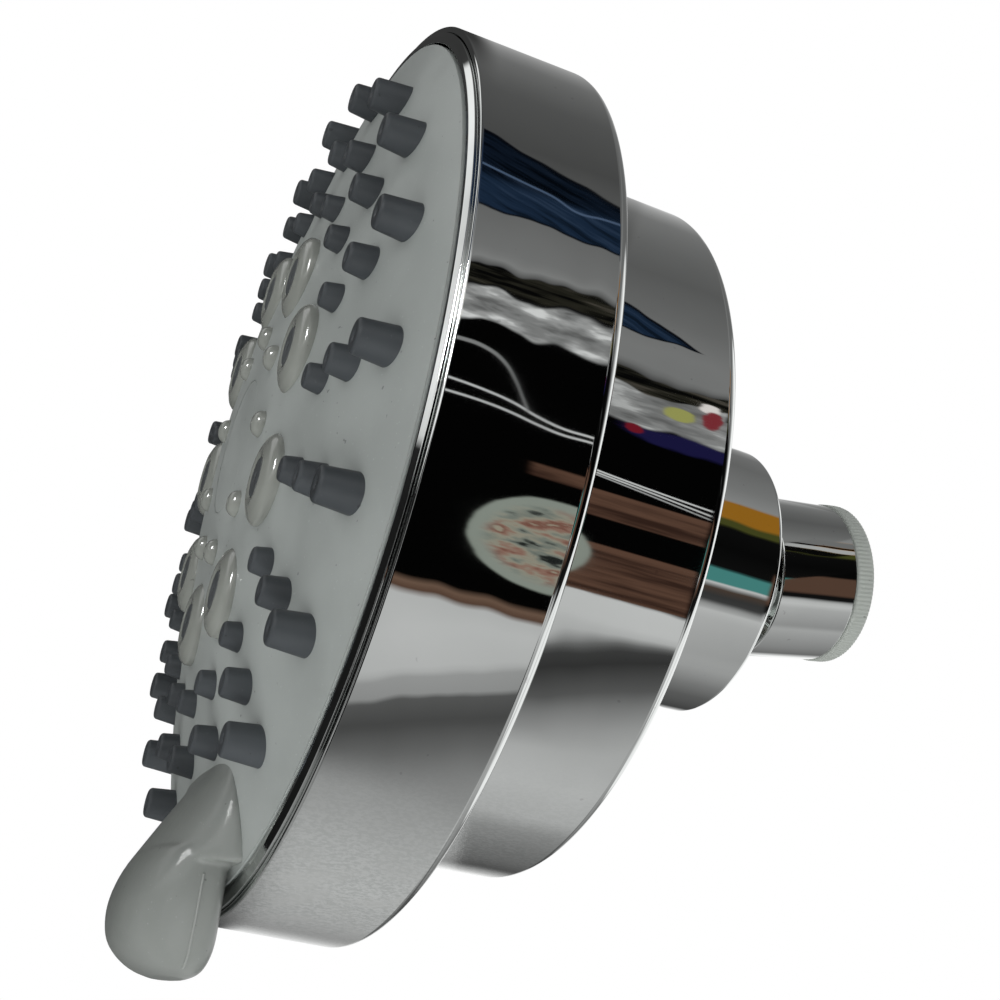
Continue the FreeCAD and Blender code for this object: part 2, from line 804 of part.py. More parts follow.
def build_port_spring():
    """Coil that presses the port seal on the selector disc."""
    low = size.face_skirt + size.port_seal_lift + size.port_seal_height + size.spring_wire
    high = duct_top - size.duct_wall - size.spring_wire
    coil_radius = (size.port_seal_radius + size.disc_port) / 2
    helix = document.addObject("Part::Helix", "spring_route")
    helix.setExpression("Pitch", ((high - low) / size.spring_turns).text)
    helix.setExpression("Height", (high - low).text)
    helix.setExpression("Radius", coil_radius.text)
    wire = document.addObject("Part::Circle", "spring_section")
    wire.setExpression("Radius", size.spring_wire.text)
    wire.Placement = FreeCAD.Placement(Vector(), FreeCAD.Rotation(Vector(1, 0, 0), 90))
    wire.setExpression("Placement.Base.x", coil_radius.text)
    coil = document.addObject("Part::Sweep", "port_spring")
    coil.Label = "port_spring"
    coil.Sections = [wire]
    coil.Spine = (helix, ["Edge1"])
    coil.Solid = True
    coil.Frenet = True
    return put_on_head(coil, low, size.disc_bore_ring)


def build_centre_screw():
    body = new_body("centre_screw")
    head_high = well_floor - size.thrust_washer - size.layer_gap
    head_low = head_high - size.screw_head_height
    revolve(body, "screw", [
        (0, head_low),
        (size.screw_head - size.screw_chamfer, head_low),
        (size.screw_head, head_low + size.screw_chamfer),
        (size.screw_head, head_high),
        (size.pivot_radius, head_high),
        (size.pivot_radius, size.way_low),
        (size.screw_core, size.way_low),
        (size.screw_core, size.screw_tip),
        (0, size.screw_tip),
    ])
    slot_sketch = new_sketch(body, "slot_outline", "XY_Plane", lift=head_low)
    arm = size.screw_core
    blade = size.screw_core / 4
    draw_outline(slot_sketch, [
        (-arm, -blade), (-blade, -blade), (-blade, -arm), (blade, -arm),
        (blade, -blade), (arm, -blade), (arm, blade), (blade, blade),
        (blade, arm), (-blade, arm), (-blade, blade), (-arm, blade),
    ])
    extrude(body, "cross_slot", slot_sketch, size.screw_slot_depth, cut=True, reverse=True)
    return put_on_head(body)


def build_screw_washer():
    body = new_body("screw_washer")
    high = well_floor - size.layer_gap / 2
    low = high - size.thrust_washer
    outer = size.screw_head + size.layer_gap
    inner = size.pivot_radius + size.layer_gap
    revolve(body, "washer", [(inner, low), (outer, low), (outer, high), (inner, high)])
    return put_on_head(body)


# Face pieces, drawn with the lever toward -Y

def lever_section(body, name, out, base_half, base, side_half, side, crown):
    """Cross-section of the lever at a distance out from the axis, crowned by an arc."""
    sketch = new_sketch(body, name, "XZ_Plane", lift=out)
    rise = side - crown
    crown_radius = (side_half * side_half + rise * rise) / (2 * rise)
    draw_outline(sketch, [
        (-base_half, base), (-side_half, side, crown_radius), (side_half, side), (base_half, base),
    ])
    return sketch


def loft(body, name, sections):
    feature = body.newObject("PartDesign::AdditiveLoft", name)
    feature.Profile = sections[0]
    feature.Sections = sections[1:]
    return feature


def build_lever(body):
    """Root ramp on the face, then the thumb piece that stands clear of the bezel."""
    back = -size.lever_back
    crest = -size.lever_crest
    root_half = size.lever_root_half
    thumb_half = size.lever_thumb_half
    fold = dome_height(size.lever_start)
    middle = (size.lever_start + size.lever_edge) / 2
    fall = size.lever_crest_out + 0.6 * (size.lever_tip - size.lever_crest_out)
    loft(body, "lever_root", [
        lever_section(body, "root_start", size.lever_start, 0.81 * root_half, fold + OVERLAP,
                      0.56 * root_half, fold + 0.2, fold - 0.25),
        lever_section(body, "root_middle", middle, 0.97 * root_half, back - 0.2,
                      0.53 * root_half, 0.47 * crest, 0.66 * crest),
        lever_section(body, "root_end", size.lever_edge, root_half, back + 0.4,
                      0.62 * root_half, 0.66 * crest, 0.865 * crest),
    ])
    loft(body, "lever_thumb", [
        lever_section(body, "thumb_start", size.lever_edge, thumb_half, back,
                      0.73 * thumb_half, 0.64 * crest, 0.85 * crest),
        lever_section(body, "thumb_crest", size.lever_crest_out, 0.94 * thumb_half, back,
                      0.75 * thumb_half, 0.74 * crest, crest),
        lever_section(body, "thumb_fall", fall, 0.8 * thumb_half, back,
                      0.65 * thumb_half, 0.6 * crest, 0.86 * crest),
        lever_section(body, "thumb_tip", size.lever_tip, thumb_half / 2, back - 0.4,
                      0.42 * thumb_half, 0.29 * crest, 0.41 * crest),
    ])


def nozzle_rings():
    """Name, radius of the ring, nozzle radius, nozzle length, arms left out at the lever."""
    return (
        ("large", size.large_ring, size.large_nozzle, size.large_length, 2),
        ("medium", size.medium_ring, size.medium_nozzle, size.medium_length, 0),
        ("small", size.small_ring, size.small_nozzle, size.small_length, 0),
    )


def ring_start(left_out):
    """Angle of a ring's first nozzle. The lever lies midway between two arms."""
    return arm_pitch * (0.5 + left_out / 2) - 90


def repeat_ring(body, name, features, left_out):
    """Copies round the ring, past the arms that the lever takes."""
    if left_out == 0:
        return repeat(body, name, features, size.arm_count)
    span = arm_pitch * (size.arm_count - left_out - 1)
    return repeat(body, name, features, size.arm_count - left_out, span)


def build_face_plate():
    body = new_body("face_plate")
    build_lever(body)
    cap_edge = size.cap_radius + size.layer_gap / 2
    ledge = dome_height(as_size(0)) + size.cap_wall + size.layer_gap
    revolve(body, "dished_plate", [
        (size.pivot_radius + size.pivot_fit, well_floor),
        (size.screw_well, well_floor),
        (size.screw_well, ledge),
        (cap_edge, ledge),
        (cap_edge, dome_height(cap_edge), dome_sphere()),
        (size.face_radius, dome_height(size.face_radius)),
        (size.face_radius, size.face_skirt),
        (skirt_inner, size.face_skirt),
        (skirt_inner, dome_height(skirt_inner, size.face_wall), -dome_sphere(size.face_wall)),
        (size.hub_radius, dome_height(size.hub_radius, size.face_wall)),
        (size.hub_radius, size.face_skirt),
        (size.pivot_radius + size.pivot_fit, size.face_skirt),
    ])
    for name, ring, radius, _, left_out in nozzle_rings():
        hole = bore(body, f"{name}_hole", ring_start(left_out), ring, radius + size.hole_gap)
        repeat_ring(body, f"{name}_holes", [hole], left_out)
    cup_hole = bore(body, "cup_hole", cup_start, size.cup_ring, size.cup_radius + size.hole_gap)
    dome_hole = bore(body, "dome_hole", jet_start, size.dome_ring, size.dome_radius + size.hole_gap)
    repeat(body, "cup_holes", [cup_hole, dome_hole], size.cup_count)
    return put_on_face(body)


def build_rubber_nozzles():
    body = new_body("rubber_nozzles")
    front = size.face_wall + size.layer_gap
    back = front + size.mat_wall
    outer = size.mat_outer
    inner = size.mat_inner
    revolve(body, "mat", [
        (inner, dome_height(inner, front), dome_sphere(front)),
        (outer, dome_height(outer, front)),
        (outer, dome_height(outer, back), -dome_sphere(back)),
        (inner, dome_height(inner, back)),
    ])
    for name, ring, radius, length, left_out in nozzle_rings():
        root_height = dome_height(ring, front + size.mat_wall / 2)
        tip = dome_height(ring) - length
        tip_radius = radius - size.nozzle_taper
        nozzle = revolve_aside(body, f"{name}_nozzle", ring_start(left_out), ring, [
            (0, root_height),
            (0, tip),
            (tip_radius - size.nozzle_chamfer, tip),
            (tip_radius, tip + size.nozzle_chamfer),
            (radius, dome_height(ring)),
            (radius, root_height),
        ])
        hole = bore(body, f"{name}_bore", ring_start(left_out), ring, size.nozzle_bore)
        repeat_ring(body, f"{name}_nozzles", [nozzle, hole], left_out)
    return put_on_face(body)


def build_spray_cups():
    body = new_body("spray_cups")
    front = size.face_wall + size.layer_gap
    back = front + size.insert_wall
    inner = size.hub_radius + size.layer_gap
    revolve(body, "insert", [
        (inner, dome_height(inner, front), dome_sphere(front)),
        (insert_outer, dome_height(insert_outer, front)),
        (insert_outer, dome_height(insert_outer, back), -dome_sphere(back)),
        (inner, dome_height(inner, back)),
    ])
    cup_foot = dome_height(size.cup_ring, front + size.insert_wall / 2)
    cup = revolve_aside(body, "cup", cup_start, size.cup_ring, [
        (0, cup_foot),
        (0, -size.cup_rise + size.plug_depth),
        (size.plug_radius + size.layer_gap, -size.cup_rise + size.plug_depth),
        (size.plug_radius + size.layer_gap, -size.cup_rise),
        (size.cup_radius - size.cup_round, -size.cup_rise, size.cup_round),
        (size.cup_radius, -size.cup_rise + size.cup_round),
        (size.cup_radius, cup_foot),
    ])
    cup_jet = bore(body, "cup_jet", cup_start, size.cup_ring, size.plug_bore * 2)
    dome = revolve_aside(body, "dome", jet_start, size.dome_ring, [
        (0, dome_height(size.dome_ring, front + size.insert_wall / 2)),
        (0, -size.dome_rise, size.dome_radius),
        (size.dome_radius, -size.dome_rise + size.dome_radius),
        (size.dome_radius, dome_height(size.dome_ring, front + size.insert_wall / 2)),
    ])
    dome_jet = bore(body, "dome_jet", jet_start, size.dome_ring, size.dome_bore)
    repeat(body, "cups", [cup, cup_jet, dome, dome_jet], size.cup_count)
    return put_on_face(body)


def build_cup_plugs():
    """Identical rubber discs, one in each cup."""
    plugs = []
    low = -size.cup_rise + size.plug_sink
    for index in range(int(size.cup_count.value)):
        turn = cup_start + index * cup_pitch
        disc = document.addObject("Part::Cylinder", f"plug_disc_{index}")
        jet = document.addObject("Part::Cylinder", f"plug_jet_{index}")
        disc.setExpression("Radius", size.plug_radius.text)
        jet.setExpression("Radius", size.plug_bore.text)
        for piece, foot, depth in (
            (disc, low, size.plug_depth - size.plug_sink),
            (jet, low - OVERCUT, size.plug_depth + 2 * OVERCUT),
        ):
            piece.setExpression("Height", depth.text)
            piece.setExpression("Placement.Base.x", (size.cup_ring * cosine(turn)).text)
            piece.setExpression("Placement.Base.y", (size.cup_ring * sine(turn)).text)
            piece.setExpression("Placement.Base.z", foot.text)
        plug = document.addObject("Part::Cut", f"plug_{index}")
        plug.Base = disc
        plug.Tool = jet
        plugs.append(plug)
    group = document.addObject("Part::Compound", "cup_plugs")
    group.Label = "cup_plugs"
    group.Links = plugs
    return put_on_face(group)


def build_centre_cap():
    body = new_body("centre_cap")
    edge = size.cap_radius - size.layer_gap / 2
    back = dome_height(as_size(0)) + size.cap_wall
    revolve(body, "cap", [
        (0, dome_height(as_size(0)), dome_sphere()),
        (edge, dome_height(edge)),
        (edge, back),
        (0, back),
    ])
    return put_on_face(body)


def build_selector_disc():
    body = new_body("selector_disc")
    inner = size.hub_radius + size.layer_gap
    outer = skirt_inner - size.layer_gap
    rib_low = dome_height(size.rib_radius, size.face_wall + size.insert_wall) + 4 * size.layer_gap
    revolve(body, "disc", [
        (inner, size.disc_low),
        (size.rib_radius - size.rib_wall / 2, size.disc_low),
        (size.rib_radius - size.rib_wall / 2, rib_low),
        (size.rib_radius + size.rib_wall / 2, rib_low),
        (size.rib_radius + size.rib_wall / 2, size.disc_low),
        (outer, size.disc_low),
        (outer, size.face_skirt),
        (inner, size.face_skirt),
    ])
    port_spacing = size.lever_turn
    first = 90 - port_spacing * (size.port_count - 1) / 2
    port = bore(body, "port", first, size.disc_bore_ring, size.disc_port)
    repeat(body, "ports", [port], size.port_count, port_spacing * (size.port_count - 1))
    return put_on_face(body)


def build_turbine():
    body = new_body("turbine")
    inner = size.hub_radius + size.pivot_fit
    hub = inner + size.turbine_hub
    rim = size.turbine_radius - size.turbine_rim
    low = -size.turbine_low
    revolve(body, "hub", [(inner, low), (hub, low), (hub, size.turbine_high), (inner, size.turbine_high)])
    vane_sketch = new_sketch(body, "vane_outline", "XY_Plane", lift=low)
    sweep_back = size.turbine_radius / 4
    draw_outline(vane_sketch, [
        (hub - OVERLAP, -size.vane_wall / 2),
        (rim + OVERLAP, sweep_back - size.vane_wall / 2, size.turbine_radius),
        (rim + OVERLAP, sweep_back + size.vane_wall / 2),
        (hub - OVERLAP, size.vane_wall / 2),
    ])
    vane = extrude(body, "vane", vane_sketch, size.turbine_high - low)
    repeat(body, "vanes", [vane], size.vane_count)
    revolve(body, "rim", [
        (rim, low),
        (size.turbine_radius, low),
        (size.turbine_radius, size.turbine_high),
        (rim, size.turbine_high),
    ])
    return put_on_face(body)


pieces = [
    build_trim_ring(),
    build_rear_shell(),
    build_ball_socket(),
    build_ball_nut(),
    o_ring("nut_seal", (nut_groove_low + nut_groove_top) / 2,
           size.spigot_radius - size.small_wire, size.small_wire),
    ball_ring("ball_liner", size.liner_low, size.liner_high),
    ball_ring("ball_seal", -size.seat_low, -size.seat_high),
    build_ball_stem(),
    build_inlet_sleeve(),
    build_inlet_washer(),
    build_filter_screen(),
    build_flow_restrictor(),
    build_water_way(),
    o_ring("tube_seal", tube_groove_low + size.small_wire,
           size.spigot_bore - size.nut_clearance - size.small_wire, size.small_wire),
    build_chamber_screws(),
    o_ring("face_seal", size.way_low + size.seal_depth - size.seal_wire, size.seal_ring, size.seal_wire),
    build_port_seal(),
    build_port_spring(),
    build_centre_screw(),
    build_screw_washer(),
    build_face_plate(),
    build_rubber_nozzles(),
    build_spray_cups(),
    build_cup_plugs(),
    build_centre_cap(),
    build_selector_disc(),
    build_turbine(),
]
document.recompute()

for item in document.Objects:
    if "Invalid" in item.State or "Error" in item.State:
        raise RuntimeError(f"{item.Label} did not build: {item.State}")

os.makedirs("parts", exist_ok=True)
for piece in pieces:
    shape = piece.Shape
    if shape.isNull() or not shape.isValid():
        raise RuntimeError(f"{piece.Label} has no valid shape")
    shape.exportStep(f"parts/{piece.Label}.step")
    print(piece.Label, len(shape.Solids), round(shape.Volume, 1))
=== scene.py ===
"""Looks of the shower head: chrome casing, rubber nozzles, plastics, studio and camera.

Heights in head pieces run along the head's axis from the rim plane, positive toward the
inlet, as in the part's source. Lengths are in millimetres until a mesh is placed.
"""
import math

import bmesh
import bpy
from mathutils import Matrix, Vector


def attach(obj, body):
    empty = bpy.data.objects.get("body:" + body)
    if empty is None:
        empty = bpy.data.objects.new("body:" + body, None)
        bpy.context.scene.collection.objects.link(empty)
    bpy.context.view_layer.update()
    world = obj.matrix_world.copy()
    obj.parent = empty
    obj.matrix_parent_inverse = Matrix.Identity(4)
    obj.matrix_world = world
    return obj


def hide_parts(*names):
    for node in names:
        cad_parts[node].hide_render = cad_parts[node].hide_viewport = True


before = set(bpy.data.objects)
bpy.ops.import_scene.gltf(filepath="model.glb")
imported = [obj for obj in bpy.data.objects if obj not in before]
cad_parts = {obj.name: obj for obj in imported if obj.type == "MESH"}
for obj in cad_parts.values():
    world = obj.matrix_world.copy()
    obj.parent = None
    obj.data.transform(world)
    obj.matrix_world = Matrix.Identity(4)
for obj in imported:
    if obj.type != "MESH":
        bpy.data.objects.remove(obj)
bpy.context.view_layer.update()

MM = 0.001
STEM_LENGTH = 30.8
REST_TILT = math.radians(8.8)
BALL_HEIGHT = 55.3
LEVER_TURN = math.radians(21)
FACE_RADIUS = 57.3
FACE_RISE = 8.2
RIM_RISE = 0.9
INSERT_TURN = 2.1
CUP_COUNT = 9
CUP_RING = 24.0
DOME_RING = 15.1
CAP_RADIUS = 9.15
CAP_STEPS = 12
ARM_COUNT = 20
NOZZLE_TAPER = 0.35
NOZZLE_RINGS = (  # radius of the ring, nozzle radius, length, arms left out at the lever
    (49.2, 2.28, 4.0, 2),
    (41.35, 2.0, 2.85, 0),
    (34.2, 1.77, 2.1, 0),
)

scene = bpy.context.scene

BALL_AT = Vector((0, -STEM_LENGTH * math.sin(REST_TILT), -STEM_LENGTH * math.cos(REST_TILT)))
HEAD_AT = Matrix.Scale(MM, 4) @ Matrix.Translation(BALL_AT - Vector((0, 0, BALL_HEIGHT)))
FACE_AT = HEAD_AT @ Matrix.Rotation(-LEVER_TURN, 4, "Z")
INLET_AT = Matrix.Scale(MM, 4) @ Matrix.Translation(BALL_AT) @ Matrix.Rotation(-REST_TILT, 4, "X")


# Node helpers

def new_material(name):
    material = bpy.data.materials.new(name)
    material.use_nodes = True
    tree = material.node_tree
    shader = tree.nodes["Principled BSDF"]
    return material, tree, shader


def feed(tree, source, target):
    """Links a socket, or sets a plain value or colour."""
    if isinstance(source, bpy.types.NodeSocket):
        tree.links.new(source, target)
    elif isinstance(source, tuple) and len(source) == 3 and target.type == "RGBA":
        target.default_value = (*source, 1.0)
    else:
        target.default_value = source


def maths(tree, operation, first, second=None, third=None):
    node = tree.nodes.new("ShaderNodeMath")
    node.operation = operation
    for socket, value in zip(node.inputs, (first, second, third)):
        if value is not None:
            feed(tree, value, socket)
    return node.outputs[0]


def times(tree, first, second):
    return maths(tree, "MULTIPLY", first, second)


def plus(tree, first, second):
    return maths(tree, "ADD", first, second)


def minus(tree, first, second):
    return maths(tree, "SUBTRACT", first, second)


def rest_of(tree, share):
    """What a share leaves of one."""
    return maths(tree, "SUBTRACT", 1.0, share)


def scaled(tree, value, factor, shift):
    return maths(tree, "MULTIPLY_ADD", value, factor, shift)


def distance_from(tree, value, place):
    return maths(tree, "ABSOLUTE", minus(tree, value, place))


def span(tree, value, start, end, low=0.0, high=1.0):
    """Smooth step of value from start to end."""
    node = tree.nodes.new("ShaderNodeMapRange")
    node.interpolation_type = "SMOOTHSTEP"
    for socket, given in zip(node.inputs, (value, start, end, low, high)):
        feed(tree, given, socket)
    return node.outputs[0]


def noise_of(tree, vector, scale, detail=4.0, roughness=0.55, stretch=None):
    texture = tree.nodes.new("ShaderNodeTexNoise")
    texture.inputs["Scale"].default_value = scale
    texture.inputs["Detail"].default_value = detail
    texture.inputs["Roughness"].default_value = roughness
    if stretch is not None:
        mapping = tree.nodes.new("ShaderNodeMapping")
        mapping.inputs["Scale"].default_value = stretch
        feed(tree, vector, mapping.inputs["Vector"])
        vector = mapping.outputs["Vector"]
    feed(tree, vector, texture.inputs["Vector"])
    return texture.outputs["Fac"]


def object_place(tree):
    return tree.nodes.new("ShaderNodeTexCoord").outputs["Object"]


def object_noise(tree, scale, detail=4.0, roughness=0.55, stretch=None):
    """Noise in the row frame, finer or coarser by scale, drawn out along an axis by stretch."""
    return noise_of(tree, object_place(tree), scale, detail, roughness, stretch)


def ramp(tree, source, stops, smooth=True):
    """Colour ramp over source. A stop is (place, grey) or (place, (r, g, b))."""
    node = tree.nodes.new("ShaderNodeValToRGB")
    if smooth:
        node.color_ramp.interpolation = "EASE"
    elements = node.color_ramp.elements
    while len(elements) < len(stops):
        elements.new(0.5)
    for element, (place, colour) in zip(elements, stops):
        element.position = place
        shade = (colour,) * 3 if isinstance(colour, (int, float)) else colour
        element.color = (*shade, 1.0)
    feed(tree, source, node.inputs["Fac"])
    return node.outputs["Color"]


def add_bump(tree, shader, height, strength, distance):
    bump = tree.nodes.new("ShaderNodeBump")
    feed(tree, strength, bump.inputs["Strength"])
    bump.inputs["Distance"].default_value = distance
    feed(tree, height, bump.inputs["Height"])
    if shader.inputs["Normal"].is_linked:
        feed(tree, shader.inputs["Normal"].links[0].from_socket, bump.inputs["Normal"])
    feed(tree, bump.outputs["Normal"], shader.inputs["Normal"])


def mix(tree, factor, first, second):
    """Mixes two colours, each a socket or an (r, g, b)."""
    node = tree.nodes.new("ShaderNodeMix")
    node.data_type = "RGBA"
    feed(tree, factor, node.inputs["Factor"])
    for socket, value in ((node.inputs[6], first), (node.inputs[7], second)):
        feed(tree, (value,) * 3 if isinstance(value, float) else value, socket)
    return node.outputs[2]


# Materials

UNDERSIDE = (-0.03, -0.056)  # the plating's water marks start and are full at these Y, in metres
WAVE_RISE = 0.0006
MARK_RISE = 0.0001
GRAIN_RISE = 0.00008
BRUSHED_RISE = 0.00005


def chrome(name, tone=0.76, haze=0.015):
    """Mirror plating with a thin film, a few specks, and water marks on the underside."""
    material, tree, shader = new_material(name)
    shader.inputs["Metallic"].default_value = 1.0
    film = object_noise(tree, 55, detail=5)
    specks = object_noise(tree, 900, detail=2, roughness=0.4)
    speck_mask = ramp(tree, specks, [(0.0, 0.0), (0.745, 0.0), (0.78, 1.0)])
    film_tone = ramp(tree, film, [(0.3, (tone * 0.985, tone * 1.01, tone * 0.995)),
                                  (0.7, (tone * 0.93, tone * 0.955, tone * 0.94))])
    split = tree.nodes.new("ShaderNodeSeparateXYZ")
    feed(tree, object_place(tree), split.inputs[0])
    under = span(tree, split.outputs["Y"], *UNDERSIDE)
    marks = object_noise(tree, 2600, detail=4, roughness=0.7, stretch=(1, 1, 0.6))
    spots = times(tree, under, ramp(tree, marks, [(0.42, 0.0), (0.58, 1.0)]))
    stains = object_noise(tree, 230, detail=4)
    blots = times(tree, under, ramp(tree, stains, [(0.42, 0.0), (0.66, 0.8)]))
    marked = mix(tree, spots, film_tone, (tone * 0.74, tone * 0.77, tone * 0.75))
    marked = mix(tree, blots, marked, (tone * 0.88, tone * 0.9, tone * 0.88))
    specked = mix(tree, times(tree, speck_mask, 0.6), marked, 0.55)
    feed(tree, specked, shader.inputs["Base Color"])
    rough = ramp(tree, film, [(0.35, haze), (0.75, haze * 2.4)])
    dulled = scaled(tree, maths(tree, "POWER", under, 3.0), 0.1, rough)
    feed(tree, dulled, shader.inputs["Roughness"])
    waves = object_noise(tree, 26, detail=1)
    add_bump(tree, shader, waves, 0.05, WAVE_RISE)
    add_bump(tree, shader, marks, times(tree, under, 0.07), MARK_RISE)
    return material


def moulded(name, colour, rough, grain=1400, grain_depth=0.12, mottle=0.06, coat=0.0, dust=0.35):
    """Plastic or rubber with a faint mottle in its colour and a fine moulded grain."""
    material, tree, shader = new_material(name)
    broad = object_noise(tree, 70, detail=5)
    darker = tuple(part * (1 - mottle) for part in colour)
    lighter = tuple(min(part * (1 + mottle), 1.0) for part in colour)
    tint = ramp(tree, broad, [(0.32, darker), (0.68, lighter)])
    grit = object_noise(tree, 2600, detail=1)
    dust_mask = ramp(tree, grit, [(0.0, 0.0), (0.7, 0.0), (0.8, dust)])
    pale = tuple(min(part * 1.6 + 0.02, 1.0) for part in colour)
    flecks = object_noise(tree, 1250, detail=1, roughness=0.3)
    fleck_mask = ramp(tree, flecks, [(0.0, 0.0), (0.775, 0.0), (0.8, 0.7)])
    deep = tuple(part * 0.35 for part in colour)
    flecked = mix(tree, fleck_mask, mix(tree, dust_mask, tint, pale), deep)
    feed(tree, flecked, shader.inputs["Base Color"])
    gloss = ramp(tree, broad, [(0.3, rough * 0.88), (0.7, min(rough * 1.12, 1.0))])
    feed(tree, gloss, shader.inputs["Roughness"])
    shader.inputs["Coat Weight"].default_value = coat
    shader.inputs["Coat Roughness"].default_value = 0.12
    add_bump(tree, shader, object_noise(tree, grain, detail=3), grain_depth, GRAIN_RISE)
    return material


def steel(name):
    material, tree, shader = new_material(name)
    shader.inputs["Metallic"].default_value = 1.0
    lines = object_noise(tree, 800, detail=2, stretch=(1, 1, 12))
    feed(tree, ramp(tree, lines, [(0.3, 0.5), (0.7, 0.62)]), shader.inputs["Base Color"])
    feed(tree, ramp(tree, lines, [(0.3, 0.24), (0.7, 0.36)]), shader.inputs["Roughness"])
    add_bump(tree, shader, lines, 0.1, BRUSHED_RISE)
    return material


CHROME = chrome("mirror_chrome")
FACE_GREY = moulded("face_grey", (0.295, 0.318, 0.306), 0.45)
LEVER_GREY = moulded("lever_grey", (0.19, 0.203, 0.191), 0.34,
                     grain=900, grain_depth=0.3, mottle=0.02, coat=0.12)
# The seam's grey is lighter than the lever's to paint the highlight that its ridge catches; the
# seam's tube is real moulding.
SEAM_HIGHLIGHT_GREY = moulded("seam_highlight_grey", (0.25, 0.265, 0.25), 0.5)
NOZZLE_RUBBER = moulded("nozzle_rubber", (0.043, 0.049, 0.054), 0.5, mottle=0.12, grain_depth=0.2)
CUP_PLASTIC = moulded("cup_plastic", (0.215, 0.226, 0.206), 0.2, mottle=0.04, coat=0.35, dust=0.15)
PLUG_RUBBER = moulded("plug_rubber", (0.07, 0.078, 0.082), 0.5)
WHITE_PLASTIC = moulded("white_plastic", (0.3, 0.322, 0.298), 0.5, mottle=0.03)
BLACK_RUBBER = moulded("black_rubber", (0.02, 0.02, 0.02), 0.6)
DARK_PLASTIC = moulded("dark_plastic", (0.03, 0.03, 0.032), 0.45)
NATURAL_PLASTIC = moulded("natural_plastic", (0.55, 0.55, 0.5), 0.4)
BLUE_PLASTIC = moulded("blue_plastic", (0.03, 0.09, 0.28), 0.35)
STEEL = steel("stainless_steel")

NODE_MATERIALS = {
    "trim_ring": CHROME,
    "rear_shell": CHROME,
    "ball_nut": CHROME,
    "inlet_sleeve": CHROME,
    "ball_stem": WHITE_PLASTIC,
    "face_plate": FACE_GREY,
    "centre_cap": FACE_GREY,
    "rubber_nozzles": NOZZLE_RUBBER,
    "spray_cups": CUP_PLASTIC,
    "cup_plugs": PLUG_RUBBER,
    "nut_seal": BLACK_RUBBER,
    "ball_seal": BLACK_RUBBER,
    "tube_seal": BLACK_RUBBER,
    "face_seal": BLACK_RUBBER,
    "port_seal": BLACK_RUBBER,
    "inlet_washer": BLACK_RUBBER,
    "water_way": DARK_PLASTIC,
    "ball_socket": DARK_PLASTIC,
    "ball_liner": NATURAL_PLASTIC,
    "screw_washer": NATURAL_PLASTIC,
    "selector_disc": NATURAL_PLASTIC,
    "turbine": NATURAL_PLASTIC,
    "flow_restrictor": BLUE_PLASTIC,
    "filter_screen": STEEL,
    "chamber_screws": STEEL,
    "centre_screw": STEEL,
    "port_spring": STEEL,
}
SMOOTH_ANGLE = math.radians(35)
WELD_REACH = 0.000002

for node_name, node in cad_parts.items():
    node.data.materials.clear()
    node.data.materials.append(NODE_MATERIALS[node_name])
    node.data.polygons.foreach_set("use_smooth", [True] * len(node.data.polygons))
    weld = node.modifiers.new("weld", "WELD")
    weld.merge_threshold = WELD_REACH
    with_edges = node.modifiers.new("edges", "EDGE_SPLIT")
    with_edges.split_angle = SMOOTH_ANGLE


# Mesh helpers

def rounded(corners, closed=True, step=math.radians(12)):
    """Outline of (radius, height, fillet) corners with each corner turned into an arc.
    Gives (radius, height, normal across, normal along) for each point."""
    count = len(corners)
    points = []
    for index, corner in enumerate(corners):
        here = Vector(corner[:2])
        fillet = corner[2] if len(corner) > 2 else 0.0
        before = Vector(corners[(index - 1) % count][:2])
        after = Vector(corners[(index + 1) % count][:2])
        if not closed and index in (0, count - 1):
            way = (after - here) if index == 0 else (here - before)
            way.normalize()
            points.append((here.x, here.y, way.y, -way.x))
            continue
        come = (here - before).normalized()
        leave = (after - here).normalized()
        turn = math.atan2(come.x * leave.y - come.y * leave.x, come.dot(leave))
        if abs(turn) < 1e-4 or fillet <= 0:
            middle = (come + leave).normalized()
            points.append((here.x, here.y, middle.y, -middle.x))
            continue
        reach = fillet * math.tan(abs(turn) / 2)
        start = here - come * reach
        side = 1 if turn > 0 else -1
        centre = start + Vector((-come.y, come.x)) * fillet * side
        steps = max(2, math.ceil(abs(turn) / step))
        for part in range(steps + 1):
            angle = turn * part / steps
            spun = Vector((come.y * math.cos(angle) + come.x * math.sin(angle),
                           come.y * math.sin(angle) - come.x * math.cos(angle)))
            points.append((centre.x + spun.x * fillet * side, centre.y + spun.y * fillet * side,
                           spun.x, spun.y))
    return points


def finish_mesh(name, verts, faces, material, body, place, normals=None):
    mesh = bpy.data.meshes.new(name)
    mesh.from_pydata([place @ Vector(v) for v in verts], [], faces)
    mesh.polygons.foreach_set("use_smooth", [True] * len(mesh.polygons))
    if normals is not None:
        turned = place.to_3x3().normalized()
        shading = [(turned @ Vector(normal)).normalized() for normal in normals]
        mesh.normals_split_custom_set_from_vertices(shading)
    mesh.materials.append(material)
    piece = bpy.data.objects.new(name, mesh)
    scene.collection.objects.link(piece)
    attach(piece, body)
    return piece


def lathe_data(points, segments, centre=(0.0, 0.0), closed=True):
    """Vertices, faces and normals of an outline turned about a line along the axis."""
    verts, faces, normals = [], [], []
    for radius, height, across, along in points:
        for part in range(segments):
            angle = 2 * math.pi * part / segments
            cos, sin = math.cos(angle), math.sin(angle)
            verts.append((centre[0] + radius * cos, centre[1] + radius * sin, height))
            normals.append((across * cos, across * sin, along))
    rings = len(points)
    for ring in range(rings if closed else rings - 1):
        after = (ring + 1) % rings
        for part in range(segments):
            nxt = (part + 1) % segments
            faces.append((ring * segments + part, ring * segments + nxt,
                          after * segments + nxt, after * segments + part))
    return verts, faces, normals


